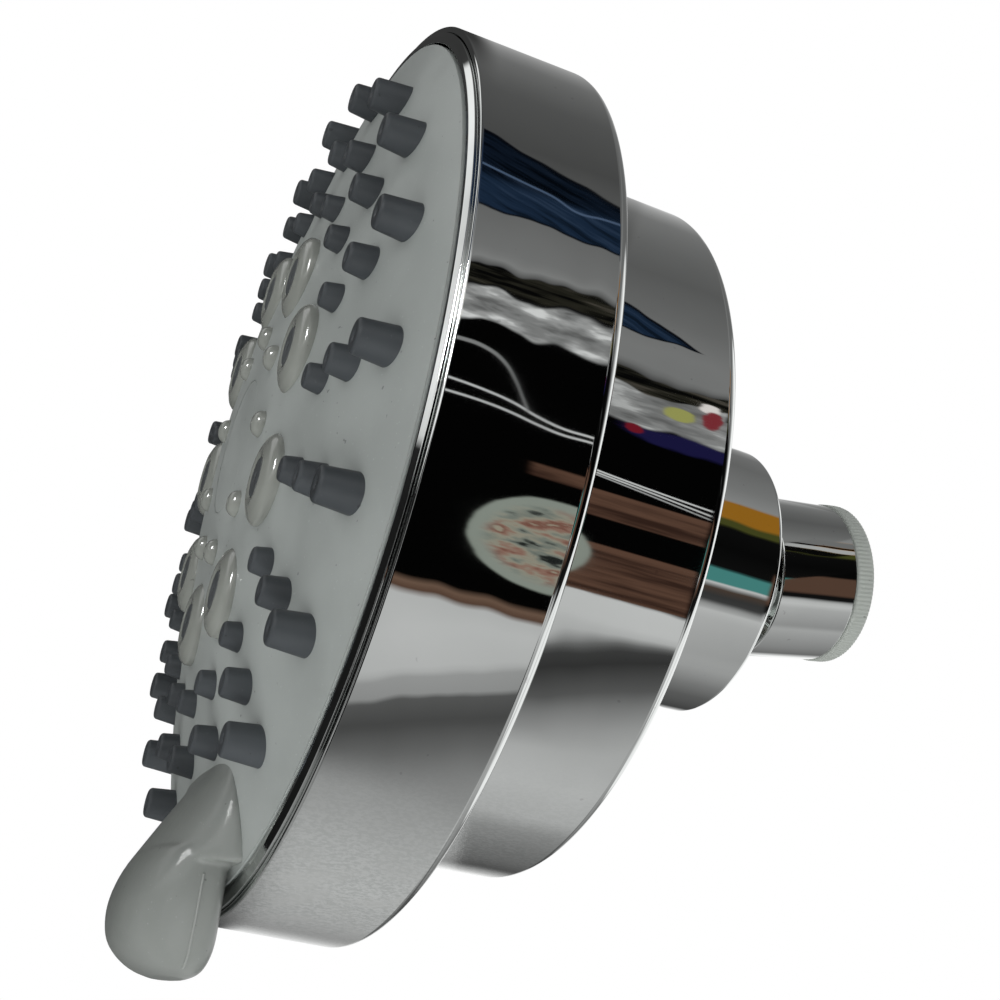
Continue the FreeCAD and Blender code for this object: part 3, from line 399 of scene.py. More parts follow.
def grid_faces(rows, across):
    """Faces between rows of points that run right round."""
    faces = []
    for row in range(rows - 1):
        for part in range(across):
            nxt = (part + 1) % across
            faces.append((row * across + part, row * across + nxt,
                          (row + 1) * across + nxt, (row + 1) * across + part))
    return faces


def joined(parts):
    """One set of vertices, faces and normals out of several."""
    verts, faces, normals = [], [], []
    for part_verts, part_faces, part_normals in parts:
        base = len(verts)
        verts += part_verts
        normals += part_normals
        faces += [tuple(base + corner for corner in face) for face in part_faces]
    return verts, faces, normals


def lathe(name, corners, material, body, place, replaced=(), segments=256, closed=True):
    points = rounded(corners, closed)
    verts, faces, normals = lathe_data(points, segments, closed=closed)
    piece = finish_mesh(name, verts, faces, material, body, place, normals)
    if replaced:
        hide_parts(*replaced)
    return piece


def round_the_axis(count, ring, start):
    """Places of count copies on a ring, the first at start degrees."""
    turns = [math.radians(start + 360 / count * index) for index in range(count)]
    return [(ring * math.cos(turn), ring * math.sin(turn)) for turn in turns]


SPHERE = (FACE_RADIUS ** 2 + FACE_RISE ** 2) / (2 * FACE_RISE)
SPHERE_CENTRE = SPHERE - FACE_RISE - RIM_RISE


def dome_height(radius):
    """Height of the face's dome, which lies below the rim plane."""
    return SPHERE_CENTRE - math.sqrt(SPHERE ** 2 - radius ** 2)


# Chrome casing, with the small edge radii that plating leaves

lathe("bezel_ring", [
    (57.6, -0.75, 0.12), (58.35, -0.75, 0.4), (59.1, -0.3, 0.15), (59.1, 2.3, 0.05),
    (58.6, 2.3, 0.05), (58.6, 8.0, 0.1), (57.6, 8.0, 0.1),
], CHROME, "head", HEAD_AT, ["trim_ring"], segments=360)

lathe("stepped_shell", [
    (59.2, 0.0, 0.1), (60.0, 0.0, 0.32), (60.37, 17.45, 1.5), (48.5, 17.45, 0.25),
    (48.5, 38.45, 1.5), (17.05, 38.45, 0.1), (17.05, 36.9, 0.1), (46.0, 36.9, 0.5),
    (46.0, 16.4, 0.5), (57.9, 16.4, 0.5), (57.9, 8.1, 0.1), (58.7, 8.1, 0.1), (58.7, 2.4, 0.05),
    (59.2, 2.4, 0.05),
], CHROME, "head", HEAD_AT, ["rear_shell"], segments=360)

lathe("swivel_nut", [
    (17.1, 38.6, 0.2), (20.93, 38.6, 0.3), (20.22, 64.6, 0.9), (10.9, 64.6, 0.35),
    (9.6, 63.07, 0.2), (11.2, 60.5, 0.2), (12.35, 55.3, 0.2), (17.1, 55.3, 0.2),
], CHROME, "head", HEAD_AT, ["ball_nut"])

lathe("inlet_collar", [
    (11.0, 15.2, 0.1), (11.0, 14.8, 0.1), (12.42, 14.8, 0.3), (12.12, 27.8, 0.25),
    (11.0, 27.8, 0.1),
], CHROME, "inlet", INLET_AT, ["inlet_sleeve"])


# Ball stem: plated ball and neck, white threaded socket with a fine knurl on its flange

BALL_RADIUS = 11.0
BALL_LOW, BALL_HIGH, BALL_STEPS = -8.5, 8.8, 27
KNURL_TEETH, KNURL_DEPTH = 120, 0.16
KNURL_WAVE = (0.0, 0.7, 1.0, 0.7)
THREAD_PITCH, THREAD_MINOR, THREAD_DEPTH = 1.814, 9.3, 0.95
THREAD_TOP, THREAD_LOW, THREAD_LEVELS, THREAD_AROUND = 30.7, 20.3, 84, 120
THREAD_RUN_OUT = 4  # levels over which the thread fades in at the mouth


def build_stem():
    ball = []
    for step in range(BALL_STEPS + 1):
        height = BALL_LOW + (BALL_HIGH - BALL_LOW) * step / BALL_STEPS
        radius = math.sqrt(BALL_RADIUS ** 2 - height ** 2)
        ball.append((radius, height, radius / BALL_RADIUS, height / BALL_RADIUS))
    neck = rounded([(6.6, BALL_HIGH), (6.6, 14.0, 0.5), (10.9, 15.2, 0.2), (10.9, 15.6)],
                   closed=False)
    bore = rounded([(4.2, 15.6), (4.2, BALL_LOW, 0.3), (6.98, BALL_LOW)], closed=False)
    plated = joined([lathe_data(ball, 160, closed=False), lathe_data(neck, 160, closed=False),
                     lathe_data(bore, 96, closed=False)])
    verts, faces, normals = plated
    finish_mesh("swivel_ball", verts, faces, CHROME, "inlet", INLET_AT, normals)

    socket = rounded([
        (10.9, 15.6), (10.9, 27.9, 0.1), (11.9, 27.9, 0.05), (11.9, 30.75, 0.05),
        (10.5, 30.75, 0.05), (10.5, 20.3, 0.05), (9.9, 20.3, 0.05), (9.9, 17.6, 0.05),
        (5.2, 17.6, 0.05), (5.2, 13.6, 0.05), (4.2, 13.6, 0.05), (4.2, 15.6),
    ], closed=False)
    verts, faces, normals = lathe_data(socket, 160, closed=False)
    stem = finish_mesh("threaded_socket", verts, faces, WHITE_PLASTIC, "inlet",
                       INLET_AT, normals)
    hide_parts("ball_stem")

    across = KNURL_TEETH * len(KNURL_WAVE)
    rows = (  # radius, height, share of the knurl's depth
        (10.95, 27.92, 0), (11.95, 27.92, 0), (12.12, 28.1, 1), (12.15, 28.6, 1), (12.15, 30.2, 1),
        (12.08, 30.6, 0.8), (11.9, 30.8, 0.2), (9.6, 30.8, 0), (9.35, 30.62, 0),
    )
    verts = []
    for radius, height, share in rows:
        for part in range(across):
            angle = 2 * math.pi * part / across
            out = radius + KNURL_DEPTH * share * KNURL_WAVE[part % len(KNURL_WAVE)]
            verts.append((out * math.cos(angle), out * math.sin(angle), height))
    faces = grid_faces(len(rows), across)
    finish_mesh("knurled_flange", verts, faces, WHITE_PLASTIC, "inlet", INLET_AT)

    verts = []
    for level in range(THREAD_LEVELS + 1):
        height = THREAD_TOP - (THREAD_TOP - THREAD_LOW) * level / THREAD_LEVELS
        for part in range(THREAD_AROUND):
            angle = 2 * math.pi * part / THREAD_AROUND
            phase = (height / THREAD_PITCH + part / THREAD_AROUND) % 1.0
            flank = min(max(2.6 * abs(phase - 0.5) - 0.2, 0.0), 1.0)
            fade = min(level / THREAD_RUN_OUT, 1.0)
            radius = THREAD_MINOR + THREAD_DEPTH * flank * fade
            verts.append((radius * math.cos(angle), radius * math.sin(angle), height))
    faces = grid_faces(THREAD_LEVELS + 1, THREAD_AROUND)
    finish_mesh("inlet_thread", verts, faces, WHITE_PLASTIC, "inlet", INLET_AT)


build_stem()


# Rubber nozzles: eighteen large, twenty medium and twenty small

def nozzle_points(ring, radius, length):
    top = dome_height(ring) - length
    tip = radius - NOZZLE_TAPER
    return rounded([
        (0.001, top + 1.2), (0.42, top + 1.2, 0.1), (0.45, top + 0.2, 0.1),
        (0.75, top + 0.05, 0.2), (tip, top, 0.5),
        (radius + NOZZLE_TAPER * 1.5 / length, dome_height(ring) + 1.5),
    ][::-1], closed=False)


nozzles = []
for ring, radius, length, left_out in NOZZLE_RINGS:
    outline = nozzle_points(ring, radius, length)
    start = 360 / ARM_COUNT * (0.5 + left_out / 2) - 90
    for centre in round_the_axis(ARM_COUNT, ring, start)[:ARM_COUNT - left_out]:
        nozzles.append(lathe_data(outline, 40, centre, closed=False))
verts, faces = joined(nozzles)[:2]
faces = [face[::-1] for face in faces]
nozzle_set = finish_mesh("nozzle_set", verts, faces, NOZZLE_RUBBER, "face",
                         FACE_AT)
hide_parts("rubber_nozzles")


# Spray cups, their rubber plugs, the small domes and the centre cap

def smooth_set(name, outline, places, segments, material, replaced=()):
    """The same turned outline at each place, seen from the face's front."""
    points = rounded(outline[::-1], closed=False)
    copies = [lathe_data(points, segments, place, closed=False) for place in places]
    verts, faces = joined(copies)[:2]
    faces = [face[::-1] for face in faces]
    piece = finish_mesh(name, verts, faces, material, "face", FACE_AT)
    if replaced:
        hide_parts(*replaced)


cup_places = round_the_axis(CUP_COUNT, CUP_RING, 180 / CUP_COUNT - 90 + INSERT_TURN)
dome_places = round_the_axis(CUP_COUNT, DOME_RING, -90 + INSERT_TURN)
smooth_set("cup_set", [
    (2.5, -7.2), (2.5, -8.85, 0.15), (3.4, -9.14, 1.1), (4.9, -8.6, 1.6), (5.66, -7.9, 0.8),
    (5.66, -5.2),
], cup_places, 72, CUP_PLASTIC, ["spray_cups"])
smooth_set("dome_set", [
    (0.001, -9.3), (0.3, -9.3, 0.1), (0.34, -9.84, 0.1), (1.72, -9.84, 1.35), (1.72, -6.0),
], dome_places, 48, CUP_PLASTIC)
smooth_set("plug_set", [
    (0.001, -8.2), (0.5, -8.2, 0.1), (0.55, -8.98, 0.12), (1.5, -9.04, 1.0), (2.42, -8.95, 0.2),
    (2.42, -7.2),
], cup_places, 48, PLUG_RUBBER, ["cup_plugs"])

cap_radii = [CAP_RADIUS * part / CAP_STEPS for part in range(1, CAP_STEPS)]
cap_corners = [(0.001, dome_height(0)), *((radius, dome_height(radius)) for radius in cap_radii),
               (CAP_RADIUS, dome_height(CAP_RADIUS), 0.15), (CAP_RADIUS, -7.6)]
lathe("middle_cap", cap_corners, FACE_GREY, "face", FACE_AT, ["centre_cap"],
      segments=128, closed=False)


# Face plate: the CAD plate without its lever, shaded as the exact sphere, and a smooth lever

LEVER_START = 43.0
SKIN_RISE = 0.03


def build_plate():
    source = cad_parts["face_plate"]
    mesh = source.data.copy()
    to_face = FACE_AT.inverted() @ source.matrix_world
    shape = bmesh.new()
    shape.from_mesh(mesh)
    bmesh.ops.remove_doubles(shape, verts=shape.verts, dist=WELD_REACH)

    def on_lever(vert):
        place = to_face @ vert.co
        radius = math.hypot(place.x, place.y)
        if radius > FACE_RADIUS + 0.04:
            return True
        return place.y < -LEVER_START and place.z < dome_height(radius) - SKIN_RISE

    bmesh.ops.delete(shape, geom=[vert for vert in shape.verts if on_lever(vert)], context="VERTS")
    shape.to_mesh(mesh)
    shape.free()
    mesh.polygons.foreach_set("use_smooth", [True] * len(mesh.polygons))
    mesh.set_sharp_from_angle(angle=SMOOTH_ANGLE)
    turned = FACE_AT.to_3x3().normalized()
    normals = []
    for polygon in mesh.polygons:
        for corner in polygon.vertices:
            place = to_face @ mesh.vertices[corner].co
            radius = math.hypot(place.x, place.y)
            outward = turned @ Vector((place.x, place.y, place.z - SPHERE_CENTRE)).normalized()
            near = radius < FACE_RADIUS and abs(place.z - dome_height(radius)) < 0.02
            normals.append(outward if near and outward.dot(polygon.normal) > 0.94 else (0, 0, 0))
    mesh.normals_split_custom_set(normals)
    mesh.materials.clear()
    mesh.materials.append(FACE_GREY)
    plate = bpy.data.objects.new("spray_plate", mesh)
    scene.collection.objects.link(plate)
    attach(plate, "face")
    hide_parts("face_plate")

    radii = (9.3, *range(10, 58), 57.25)
    skin = [(radius, dome_height(radius) - SKIN_RISE) for radius in radii]
    lathe("plate_skin", skin, FACE_GREY, "face", FACE_AT, segments=360, closed=False)


def smooth_between(keys, where):
    """Smooth curve through rows of numbers, each led by its place."""
    places = [key[0] for key in keys]
    index = max(at for at in range(len(keys) - 1) if places[at] <= where or at == 0)
    step = (where - places[index]) / (places[index + 1] - places[index])
    rows = []
    for column in range(1, len(keys[0])):
        value = [key[column] for key in keys]

        def slope(at):
            if at in (0, len(keys) - 1):
                other = 1 if at == 0 else at - 1
                return (value[other] - value[at]) / (places[other] - places[at])
            return (value[at + 1] - value[at - 1]) / (places[at + 1] - places[at - 1])
        width = places[index + 1] - places[index]
        first, last = value[index], value[index + 1]
        rows.append((2 * step ** 3 - 3 * step ** 2 + 1) * first
                    + (step ** 3 - 2 * step ** 2 + step) * width * slope(index)
                    + (3 * step ** 2 - 2 * step ** 3) * last
                    + (step ** 3 - step ** 2) * width * slope(index + 1))
    return rows


def lever_body(keys, rows, around=48):
    """Closed body along the lever. A key is (out, half width, widest height, front, back, and how
    square the front and the back halves are, 2 for an ellipse)."""
    verts = []
    first, last = keys[0][0], keys[-1][0]
    for row in range(rows + 1):
        out = first + (last - first) * row / rows
        half, widest, front, back, front_power, back_power = smooth_between(keys, out)
        for part in range(around):
            angle = 2 * math.pi * part / around
            cos, sin = math.cos(angle), math.sin(angle)
            power = front_power if sin > 0 else back_power
            aside = half * math.copysign(abs(cos) ** (2 / power), cos)
            reach = front if sin > 0 else back
            verts.append((aside, -out, widest + (reach - widest) * abs(sin) ** (2 / power)))
    faces = grid_faces(rows + 1, around)
    for row, turned in ((0, False), (rows, True)):
        middle = len(verts)
        ring = [verts[row * around + part] for part in range(around)]
        verts.append(tuple(sum(point[axis] for point in ring) / around for axis in range(3)))
        for part in range(around):
            edge = (row * around + part, row * around + (part + 1) % around)
            faces.append((middle, edge[1], edge[0]) if turned else (middle, *edge))
    return verts, faces, [(0, 0, 0)] * len(verts)


ROOT_KEYS = [
    (43.0, 11.0, -3.7, -4.45, -2.6, 2.0, 2.0), (44.4, 13.2, -3.4, -4.75, -2.3, 2.0, 2.0),
    (46.0, 14.5, -3.1, -5.75, -2.0, 1.95, 2.0), (49.5, 15.8, -2.25, -7.75, -1.4, 1.9, 2.0),
    (53.4, 16.1, -1.1, -9.85, -0.6, 1.9, 2.0), (55.0, 15.6, -0.95, -10.7, -0.5, 1.9, 2.0),
]
THUMB_KEYS = [
    (53.6, 13.3, -4.4, -9.85, -1.3, 2.3, 5.0), (55.6, 13.3, -4.4, -10.8, -1.1, 2.4, 5.0),
    (58.4, 12.9, -4.3, -11.5, -0.95, 2.5, 5.0), (60.8, 12.1, -4.1, -11.55, -0.7, 2.5, 4.6),
    (63.2, 10.9, -3.9, -10.9, -0.4, 2.45, 4.0), (64.9, 9.5, -3.7, -9.4, -0.45, 2.4, 3.2),
    (66.05, 7.7, -3.7, -7.5, -0.9, 2.3, 2.6), (66.6, 5.0, -3.8, -5.6, -1.9, 2.2, 2.2),
]
LEVER_VOXEL = 0.32
SEAM_FROM, SEAM_TO, SEAM_POINTS, SEAM_RADIUS = 56.4, 65.8, 40, 0.14


def build_lever():
    verts, faces = joined([lever_body(ROOT_KEYS, 24), lever_body(THUMB_KEYS, 30)])[:2]
    lever = finish_mesh("selector_lever", verts, faces, LEVER_GREY, "face", FACE_AT)
    remesh = lever.modifiers.new("blend", "REMESH")
    remesh.mode = "VOXEL"
    remesh.voxel_size = LEVER_VOXEL * MM
    remesh.use_smooth_shade = True
    soften = lever.modifiers.new("soften", "SMOOTH")
    soften.factor = 0.5
    soften.iterations = 8

    # Thin tube along the mould's parting line, in the lighter grey that paints its highlight.
    seam = []
    for side in (1, -1):
        for row in range(SEAM_POINTS):
            out = SEAM_FROM + (SEAM_TO - SEAM_FROM) * row / (SEAM_POINTS - 1)
            half, widest = smooth_between(THUMB_KEYS, out)[:2]
            seam.append((side * half, -out, widest))
    curve = bpy.data.curves.new("mould_seam", "CURVE")
    curve.dimensions = "3D"
    curve.bevel_depth = SEAM_RADIUS * MM
    for half_seam in (seam[:SEAM_POINTS], seam[SEAM_POINTS:]):
        line = curve.splines.new("POLY")
        line.points.add(len(half_seam) - 1)
        for point, place in zip(line.points, half_seam):
            point.co = (*(FACE_AT @ Vector(place)), 1.0)
    line_object = bpy.data.objects.new("mould_seam", curve)
    scene.collection.objects.link(line_object)
    curve.materials.append(SEAM_HIGHLIGHT_GREY)
    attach(line_object, "face")


build_plate()
build_lever()


# Studio: pale floor, plain backdrop, soft lights, a room for the chrome to mirror

FLOOR_REACH = 0.85
FLOOR_HEIGHT = -0.32


def build_floor():
    corners = [(-1, -1), (1, -1), (1, 1), (-1, 1)]
    verts = [(FLOOR_REACH * across, FLOOR_REACH * along, FLOOR_HEIGHT) for across, along in corners]
    mesh = bpy.data.meshes.new("floor")
    mesh.from_pydata(verts, [], [(0, 1, 2, 3)])
    floor = bpy.data.objects.new("floor", mesh)
    scene.collection.objects.link(floor)
    material, _, shader = new_material("pale_floor")
    shader.inputs["Base Color"].default_value = (0.92, 0.92, 0.92, 1)
    shader.inputs["Roughness"].default_value = 0.9
    mesh.materials.append(material)
    floor.visible_glossy = False


def turn_of(alpha):
    return (alpha + 180) / 360


MIRROR_SHARE = 0.79  # of a wall's level that the plating gives back
SOFT_LEVEL = 0.68  # of the grey that lights the matt pieces


def linear(part):
    """Linear level of an sRGB part, both 0 to 1."""
    return ((part + 0.055) / 1.055) ** 2.4 if part > 0.04 else part / 12.92


def seen(tone):
    """Level of a wall that the plating shows as this sRGB tone, 0 to 255."""
    parts = tone if isinstance(tone, tuple) else (tone,) * 3
    return tuple(linear(part / 255) / MIRROR_SHARE for part in parts)


BROWN = (82, 61, 50)
TAN = (112, 90, 76)
TEAL = (66, 124, 120)
GOLD = (142, 96, 28)
OLIVE = (64, 66, 30)

# The room in bands by height, the cosine of the angle from +Z. A stop is the direction round the
# axis from +X in degrees, and a tone.
FLOOR_WALLS = [
    (-180, 22), (-150, 26), (-132, 60), (-110, 120), (-80, 150), (-60, 90), (-46, 24), (0, 26),
    (27, 34), (32, 205), (50, 240), (56, 200), (62, 66), (90, 62), (104, (60, 74, 96)),
    (118, 100), (126, 255), (160, 255), (168, 60), (174, 22),
]
LOW_WALLS = [
    (-180, 8), (-152, 12), (-142, 90), (-110, 120), (-80, 150), (-50, 110), (-25, 52), (40, 50),
    (60, 82), (88, 72), (96, (30, 42, 60)), (112, (34, 46, 64)), (114, 110), (124, 124),
    (128, 170), (134, 240), (142, 240), (145, 10),
]
LOWER_TIER_WALLS = [
    (-180, 3), (-158.8, 3), (-158.2, TAN), (-156.0, BROWN), (-155.4, 178), (-150, 184),
    (-139.4, 178), (-138.8, 150), (-133.6, 142), (-133, 86), (-126, 70), (-119, 98),
    (-111, 128), (-104, 150), (-96, 162), (-86, 174), (-70, 182), (-52, 170), (-36, 140),
    (-18, 235), (8, 240), (28, 150), (50, 104), (70, 81), (90, 71), (112, 100), (123, 112),
    (125.8, 126), (127.2, 44), (131.5, 18), (142, 3),
]
UPPER_TIER_WALLS = [
    (-180, 3), (-162.2, 3), (-161.8, 190), (-155, 188), (-151.6, 172), (-149.6, 110),
    (-147, 60), (-142, 50), (-132, 84), (-127, 118), (-119, 148), (-110, 168), (-95, 180),
    (-79, 172), (-70, 138), (-60, 120), (-47, 102), (-36, 72), (-16, 235), (10, 240), (30, 160),
    (50, 113), (70, 98), (86, 88), (104, 102), (117, 117), (124.5, 116), (126.4, 84), (128, 30),
    (132, 66), (143, 60), (144.4, 3),
]
NUT_WALLS = [
    (-180, TEAL), (-176.6, TEAL), (-175.8, 185), (-173.4, 120), (-172, (70, 58, 50)),
    (-166, 52), (-161, 58), (-157, 146), (-150, 180), (-138, 174), (-118, 164), (-98, 156),
    (-78, 120), (-60, 90), (-28, 62), (-8, 235), (8, 235), (26, 140), (44, 107), (66, 101),
    (96, 117), (112, 132), (113.6, GOLD), (128.6, GOLD), (130, OLIVE), (135, OLIVE), (137, 12),
    (154, 8), (171, 14), (173, TEAL),
]
COLLAR_WALLS = [
    (-180, BROWN), (-171, BROWN), (-167.6, 16), (-162.6, 18), (-160, 150), (-157, 183),
    (-148, 188), (-128, 178), (-108, 166), (-84, 148), (-60, 130), (-38, 104), (-20, 235),
    (8, 235), (26, 160), (44, 104), (66, 96), (108, 106), (119, 110), (121, 8), (123.4, 14),
    (124.6, 165), (128, 120), (130, 8), (149, 6), (151, 54), (152.5, 6), (163.6, 8),
    (165.6, BROWN),
]
HIGH_WALLS = [
    (-180, 3), (-150, 30), (-120, 150), (-80, 235), (60, 245), (100, 150), (130, 20), (150, 3),
]

# A cord's curve runs over these heights, and over directions from CORD_TURN to twice that.
CORD_LOW, CORD_RISE, CORD_TURN = 0.23, 0.25, 90.0

# Each band starts at this height, over a soft edge this wide.
WALL_BANDS = (
    (-0.36, LOW_WALLS, 0.04),
    (0.2, LOWER_TIER_WALLS, 0.02),
    (0.352, UPPER_TIER_WALLS, 0.012),
    (0.4785, NUT_WALLS, 0.003),
    (0.568, COLLAR_WALLS, 0.003),
    (0.74, HIGH_WALLS, 0.05),
)


def build_world():
    """Pale to the camera, soft grey to matt pieces, and to the chrome a room with lit and dark
    walls."""
    world = bpy.data.worlds.new("studio")
    scene.world = world
    world.use_nodes = True
    tree = world.node_tree
    tree.nodes.clear()
    output = tree.nodes.new("ShaderNodeOutputWorld")
    where = tree.nodes.new("ShaderNodeTexCoord").outputs["Generated"]
    split = tree.nodes.new("ShaderNodeSeparateXYZ")
    feed(tree, where, split.inputs[0])
    height = split.outputs["Z"]
    radians = maths(tree, "ARCTAN2", split.outputs["Y"], split.outputs["X"])
    degrees = times(tree, radians, 180 / math.pi)
    around = maths(tree, "WRAP", degrees, 360.0, 0.0)

    def between(value, start, end, soft):
        rise = span(tree, value, start, start + soft)
        fall = span(tree, value, end - soft, end)
        return times(tree, rise, rest_of(tree, fall))

    def lay(mask, colour):
        """Puts a colour over the room where the mask is one."""
        nonlocal room
        room = mix(tree, mask, room, colour)

    def streaks(scale, length, detail=3.0):
        """Noise drawn out along the axis, over direction and height."""
        place = tree.nodes.new("ShaderNodeCombineXYZ")
        feed(tree, times(tree, degrees, scale), place.inputs["X"])
        feed(tree, times(tree, height, length), place.inputs["Y"])
        return noise_of(tree, place.outputs[0], 1.0, detail=detail)

    waves = minus(tree, streaks(0.05, 26, detail=1), 0.5)
    sway = times(tree, waves, span(tree, distance_from(tree, degrees, 130.0), 8.0, 22.0, 8.0, 3.0))
    lean_low = times(tree, minus(tree, height, 0.285), 105.0)
    lean_high = times(tree, minus(tree, height, 0.43), 140.0)
    leaning = mix(tree, span(tree, height, 0.35, 0.365), lean_low, lean_high)
    lean = times(tree, leaning, between(degrees, -156.0, -104.0, 12.0))
    bent = plus(tree, degrees, plus(tree, sway, lean))
    share = scaled(tree, bent, 1 / 360, 0.5)

    def walls(stops):
        toned = [(turn_of(alpha), seen(tone)) for alpha, tone in stops]
        return ramp(tree, share, toned, smooth=False)

    room = walls(FLOOR_WALLS)
    for start, stops, soft in WALL_BANDS:
        lay(span(tree, height, start, start + soft), walls(stops))

    rim_line = times(tree, between(height, -0.66, -0.52, 0.03), between(around, 78.0, 262.0, 8.0))
    lay(rim_line, seen(176))
    tiers = between(height, 0.2, 0.478, 0.004)
    lower = between(height, 0.2, 0.36, 0.008)
    upper = between(height, 0.352, 0.478, 0.004)

    # Folded cloth
    edge = maths(tree, "MAXIMUM", scaled(tree, height, 90.0, 70.0),
                 scaled(tree, height, 165.0, 41.3))
    inside = minus(tree, bent, edge)
    cloth = times(tree, between(inside, -0.4, 80.0, 0.6),
                  rest_of(tree, span(tree, bent, 112.8, 113.3)))
    fold_place = tree.nodes.new("ShaderNodeCombineXYZ")
    feed(tree, times(tree, inside, 0.55), fold_place.inputs["X"])
    feed(tree, times(tree, height, 9.0), fold_place.inputs["Y"])
    folds = noise_of(tree, fold_place.outputs[0], 1.0, detail=4, roughness=0.7)
    cloth_dark = ramp(tree, folds, [
        (0.4, seen((3, 6, 11))), (0.55, seen((14, 22, 34))), (0.7, seen((30, 40, 56)))])
    cloth_lit = ramp(tree, folds, [
        (0.36, seen((13, 22, 34))), (0.5, seen((24, 38, 57))), (0.7, seen((42, 56, 76)))])
    cloth_tone = mix(tree, span(tree, bent, 102.0, 105.0), cloth_dark, cloth_lit)
    border = maths(tree, "MAXIMUM", rest_of(tree, span(tree, inside, 0.5, 1.4)),
                   span(tree, bent, 112.2, 112.9))
    cloth_tone = mix(tree, border, cloth_tone, seen((6, 8, 14)))
    lay(times(tree, cloth, tiers), cloth_tone)

    # Mottled glare beside the dark doorway
    glare = streaks(0.3, 22, detail=3)
    glare_tone = ramp(tree, glare, [
        (0.34, seen(92)), (0.45, seen(122)), (0.55, seen(150)), (0.66, seen(205))])
    lay(times(tree, between(bent, 132.6, 142.4, 1.0), lower), glare_tone)
    lay(times(tree, between(bent, 130.6, 144.6, 1.2), upper), mix(tree, 0.45, glare_tone, seen(95)))
    dim = ramp(tree, streaks(0.7, 14, detail=3), [
        (0.4, seen(6)), (0.55, seen((34, 33, 27))), (0.68, seen((66, 62, 56)))])
    lay(times(tree, between(bent, 126.8, 132.6, 0.6), tiers), dim)

    # Brown boards
    grain = ramp(tree, streaks(0.35, 6, detail=4), [
        (0.35, seen((48, 32, 26))), (0.6, seen((88, 64, 52)))])
    short_board = between(height, 0.3, 0.36, 0.01)
    for start, end, zone in (
        (166.8, 175.2, upper), (182.6, 197.8, upper), (169.2, 172.6, short_board),
    ):
        lay(times(tree, between(around, start, end, 0.5), zone), grain)

    def cord(points, width, tone, low, high):
        """Thin light line. A point is (height, direction in degrees)."""
        curve = tree.nodes.new("ShaderNodeFloatCurve")
        up = maths(tree, "DIVIDE", minus(tree, height, CORD_LOW), CORD_RISE)
        feed(tree, up, curve.inputs["Value"])
        line = curve.mapping.curves[0]
        while len(line.points) < len(points):
            line.points.new(0.5, 0.5)
        for point, (at, alpha) in zip(line.points, points):
            point.location = ((at - CORD_LOW) / CORD_RISE, (alpha - CORD_TURN) / CORD_TURN)
            point.handle_type = "AUTO"
        curve.mapping.update()
        aim = scaled(tree, curve.outputs["Value"], CORD_TURN, CORD_TURN)
        off = distance_from(tree, degrees, aim)
        mask = rest_of(tree, span(tree, off, width * 0.4, width))
        lay(times(tree, mask, between(height, low, high, 0.002)), seen(tone))

    cord([(0.23, 156.5), (0.26, 157.0), (0.28, 157.8), (0.3, 159.3), (0.32, 160.2), (0.345, 160.2),
          (0.405, 162.0), (0.48, 163.6)], 0.34, 190, 0.2, 0.476)
    cord([(0.23, 159.5), (0.26, 159.6), (0.28, 160.1), (0.3, 161.0), (0.32, 161.6), (0.345, 161.4),
          (0.405, 162.7), (0.48, 165.2)], 0.34, 185, 0.2, 0.476)
    cord([(0.36, 162.0), (0.405, 163.4), (0.48, 166.4)], 0.3, 150, 0.36, 0.476)
    cord([(0.23, 147.0), (0.25, 147.4), (0.265, 149.3), (0.276, 152.4), (0.286, 156.4),
          (0.294, 159.6)], 0.6, 125, 0.2, 0.293)
    cord([(0.23, 101.0), (0.25, 102.0), (0.27, 103.0), (0.29, 105.2), (0.31, 104.4), (0.35, 104.4)],
         0.45, (72, 88, 112), 0.2, 0.35)

    def oval(alpha, at, reach, rise, rough_edge):
        """Nought at the middle of an oval and one along its edge, which noise makes ragged."""
        across = maths(tree, "DIVIDE", minus(tree, around, alpha), reach)
        along = maths(tree, "DIVIDE", minus(tree, height, at), rise)
        ragged = times(tree, minus(tree, glare, 0.5), rough_edge)
        round_part = plus(tree, times(tree, across, across), times(tree, along, along))
        return plus(tree, round_part, ragged)

    def patch(alpha, at, reach, rise, tone, soft=0.35):
        """Ragged oval of one tone."""
        away = oval(alpha, at, reach, rise, 2.6)
        lay(rest_of(tree, span(tree, away, 1.0 - soft, 1.0 + soft)), seen(tone))

    patch(146.0, 0.44, 2.3, 0.045, (24, 22, 58), 0.5)
    patch(131.6, 0.452, 1.6, 0.008, (214, 208, 205))
    patch(135.2, 0.456, 3.4, 0.0065, (118, 44, 50))
    patch(136.8, 0.433, 2.0, 0.011, (146, 146, 84))
    patch(145.4, 0.406, 1.5, 0.007, (104, 22, 34))

    # Pale dish with a coloured print
    dish_away = oval(187.0, 0.337, 10.6, 0.066, 0.15)
    dish = rest_of(tree, span(tree, dish_away, 0.93, 1.05))
    printed = ramp(tree, streaks(0.35, 26, detail=3), [
        (0.36, seen((30, 33, 32))), (0.42, seen((112, 117, 110))), (0.5, seen((140, 136, 122))),
        (0.57, seen((134, 104, 92))), (0.62, seen((112, 74, 64))), (0.67, seen((146, 138, 122)))])
    middle = rest_of(tree, span(tree, dish_away, 0.4, 0.8))
    lay(dish, mix(tree, middle, seen((131, 137, 129)), printed))

    # Dark and light lines that the collar shows below the nut's band
    fringe = between(height, 0.462, 0.518, 0.004)
    for start, end, tone in (
        (112.4, 120.8, 110), (120.6, 123.6, 8), (123.6, 129.8, 165), (129.8, 136.0, 8),
    ):
        lay(times(tree, between(bent, start, end, 0.5), fringe), seen(tone))

    def background(colour):
        node = tree.nodes.new("ShaderNodeBackground")
        feed(tree, colour, node.inputs["Color"])
        return node.outputs[0]

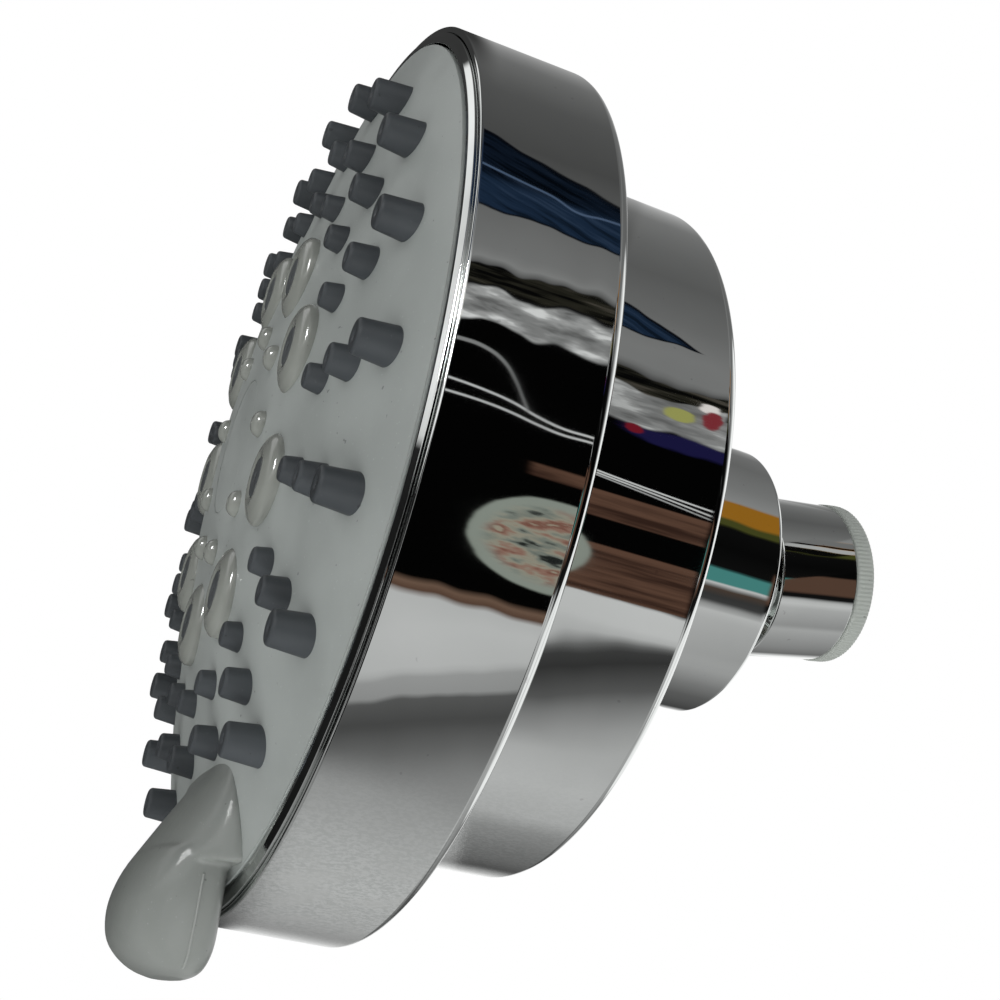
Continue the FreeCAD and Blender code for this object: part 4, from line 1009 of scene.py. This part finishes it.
    def choose(ray, otherwise, chosen):
        node = tree.nodes.new("ShaderNodeMixShader")
        for socket, source in zip(node.inputs, (rays.outputs[ray], otherwise, chosen)):
            feed(tree, source, socket)
        return node.outputs[0]

    rays = tree.nodes.new("ShaderNodeLightPath")
    matt_or_mirror = choose("Is Diffuse Ray", background(room), background((SOFT_LEVEL,) * 3))
    seen_by_all = choose("Is Camera Ray", matt_or_mirror, background((1.0, 1.0, 1.0)))
    feed(tree, seen_by_all, output.inputs["Surface"])


def add_light(name, place, target, size, power, mirrored):
    """Square light. The plating shows it only where mirrored is set."""
    lamp = bpy.data.lights.new(name, "AREA")
    lamp.size = size
    lamp.energy = power
    light = bpy.data.objects.new(name, lamp)
    light.location = place
    light.rotation_euler = (Vector(target) - Vector(place)).to_track_quat("-Z", "Y").to_euler()
    scene.collection.objects.link(light)
    light.visible_glossy = mirrored


LENS = 46.8
SENSOR = 36.0
CAMERA_PLACE = Vector((-0.17517, -0.01848, -0.11801))
CAMERA_RIGHT = Vector((-0.34196, 0.24712, 0.90664))
CAMERA_UP = Vector((0.0, 0.96481, -0.26297))


def build_camera():
    data = bpy.data.cameras.new("camera")
    data.lens = LENS
    data.sensor_width = SENSOR
    data.clip_start = 0.01
    camera = bpy.data.objects.new("camera", data)
    columns = (CAMERA_RIGHT, CAMERA_UP, CAMERA_RIGHT.cross(CAMERA_UP), CAMERA_PLACE)
    rows = [[column[axis] for column in columns] for axis in range(3)]
    camera.matrix_world = Matrix((*rows, (0, 0, 0, 1)))
    scene.collection.objects.link(camera)
    scene.camera = camera


build_floor()
build_world()
build_camera()
aim = (0, -0.004, -0.07)
add_light("key_light", (-0.3, 0.4, -0.75), aim, 0.24, 16, True)
add_light("glint_light", (0.11, -0.06, -0.45), aim, 0.1, 0.7, False)
add_light("fill_light", (-0.6, -0.5, -0.3), aim, 0.7, 8, False)
add_light("top_light", (0.2, 0.5, 0.3), aim, 0.5, 2, False)
scene.view_settings.view_transform = "Standard"
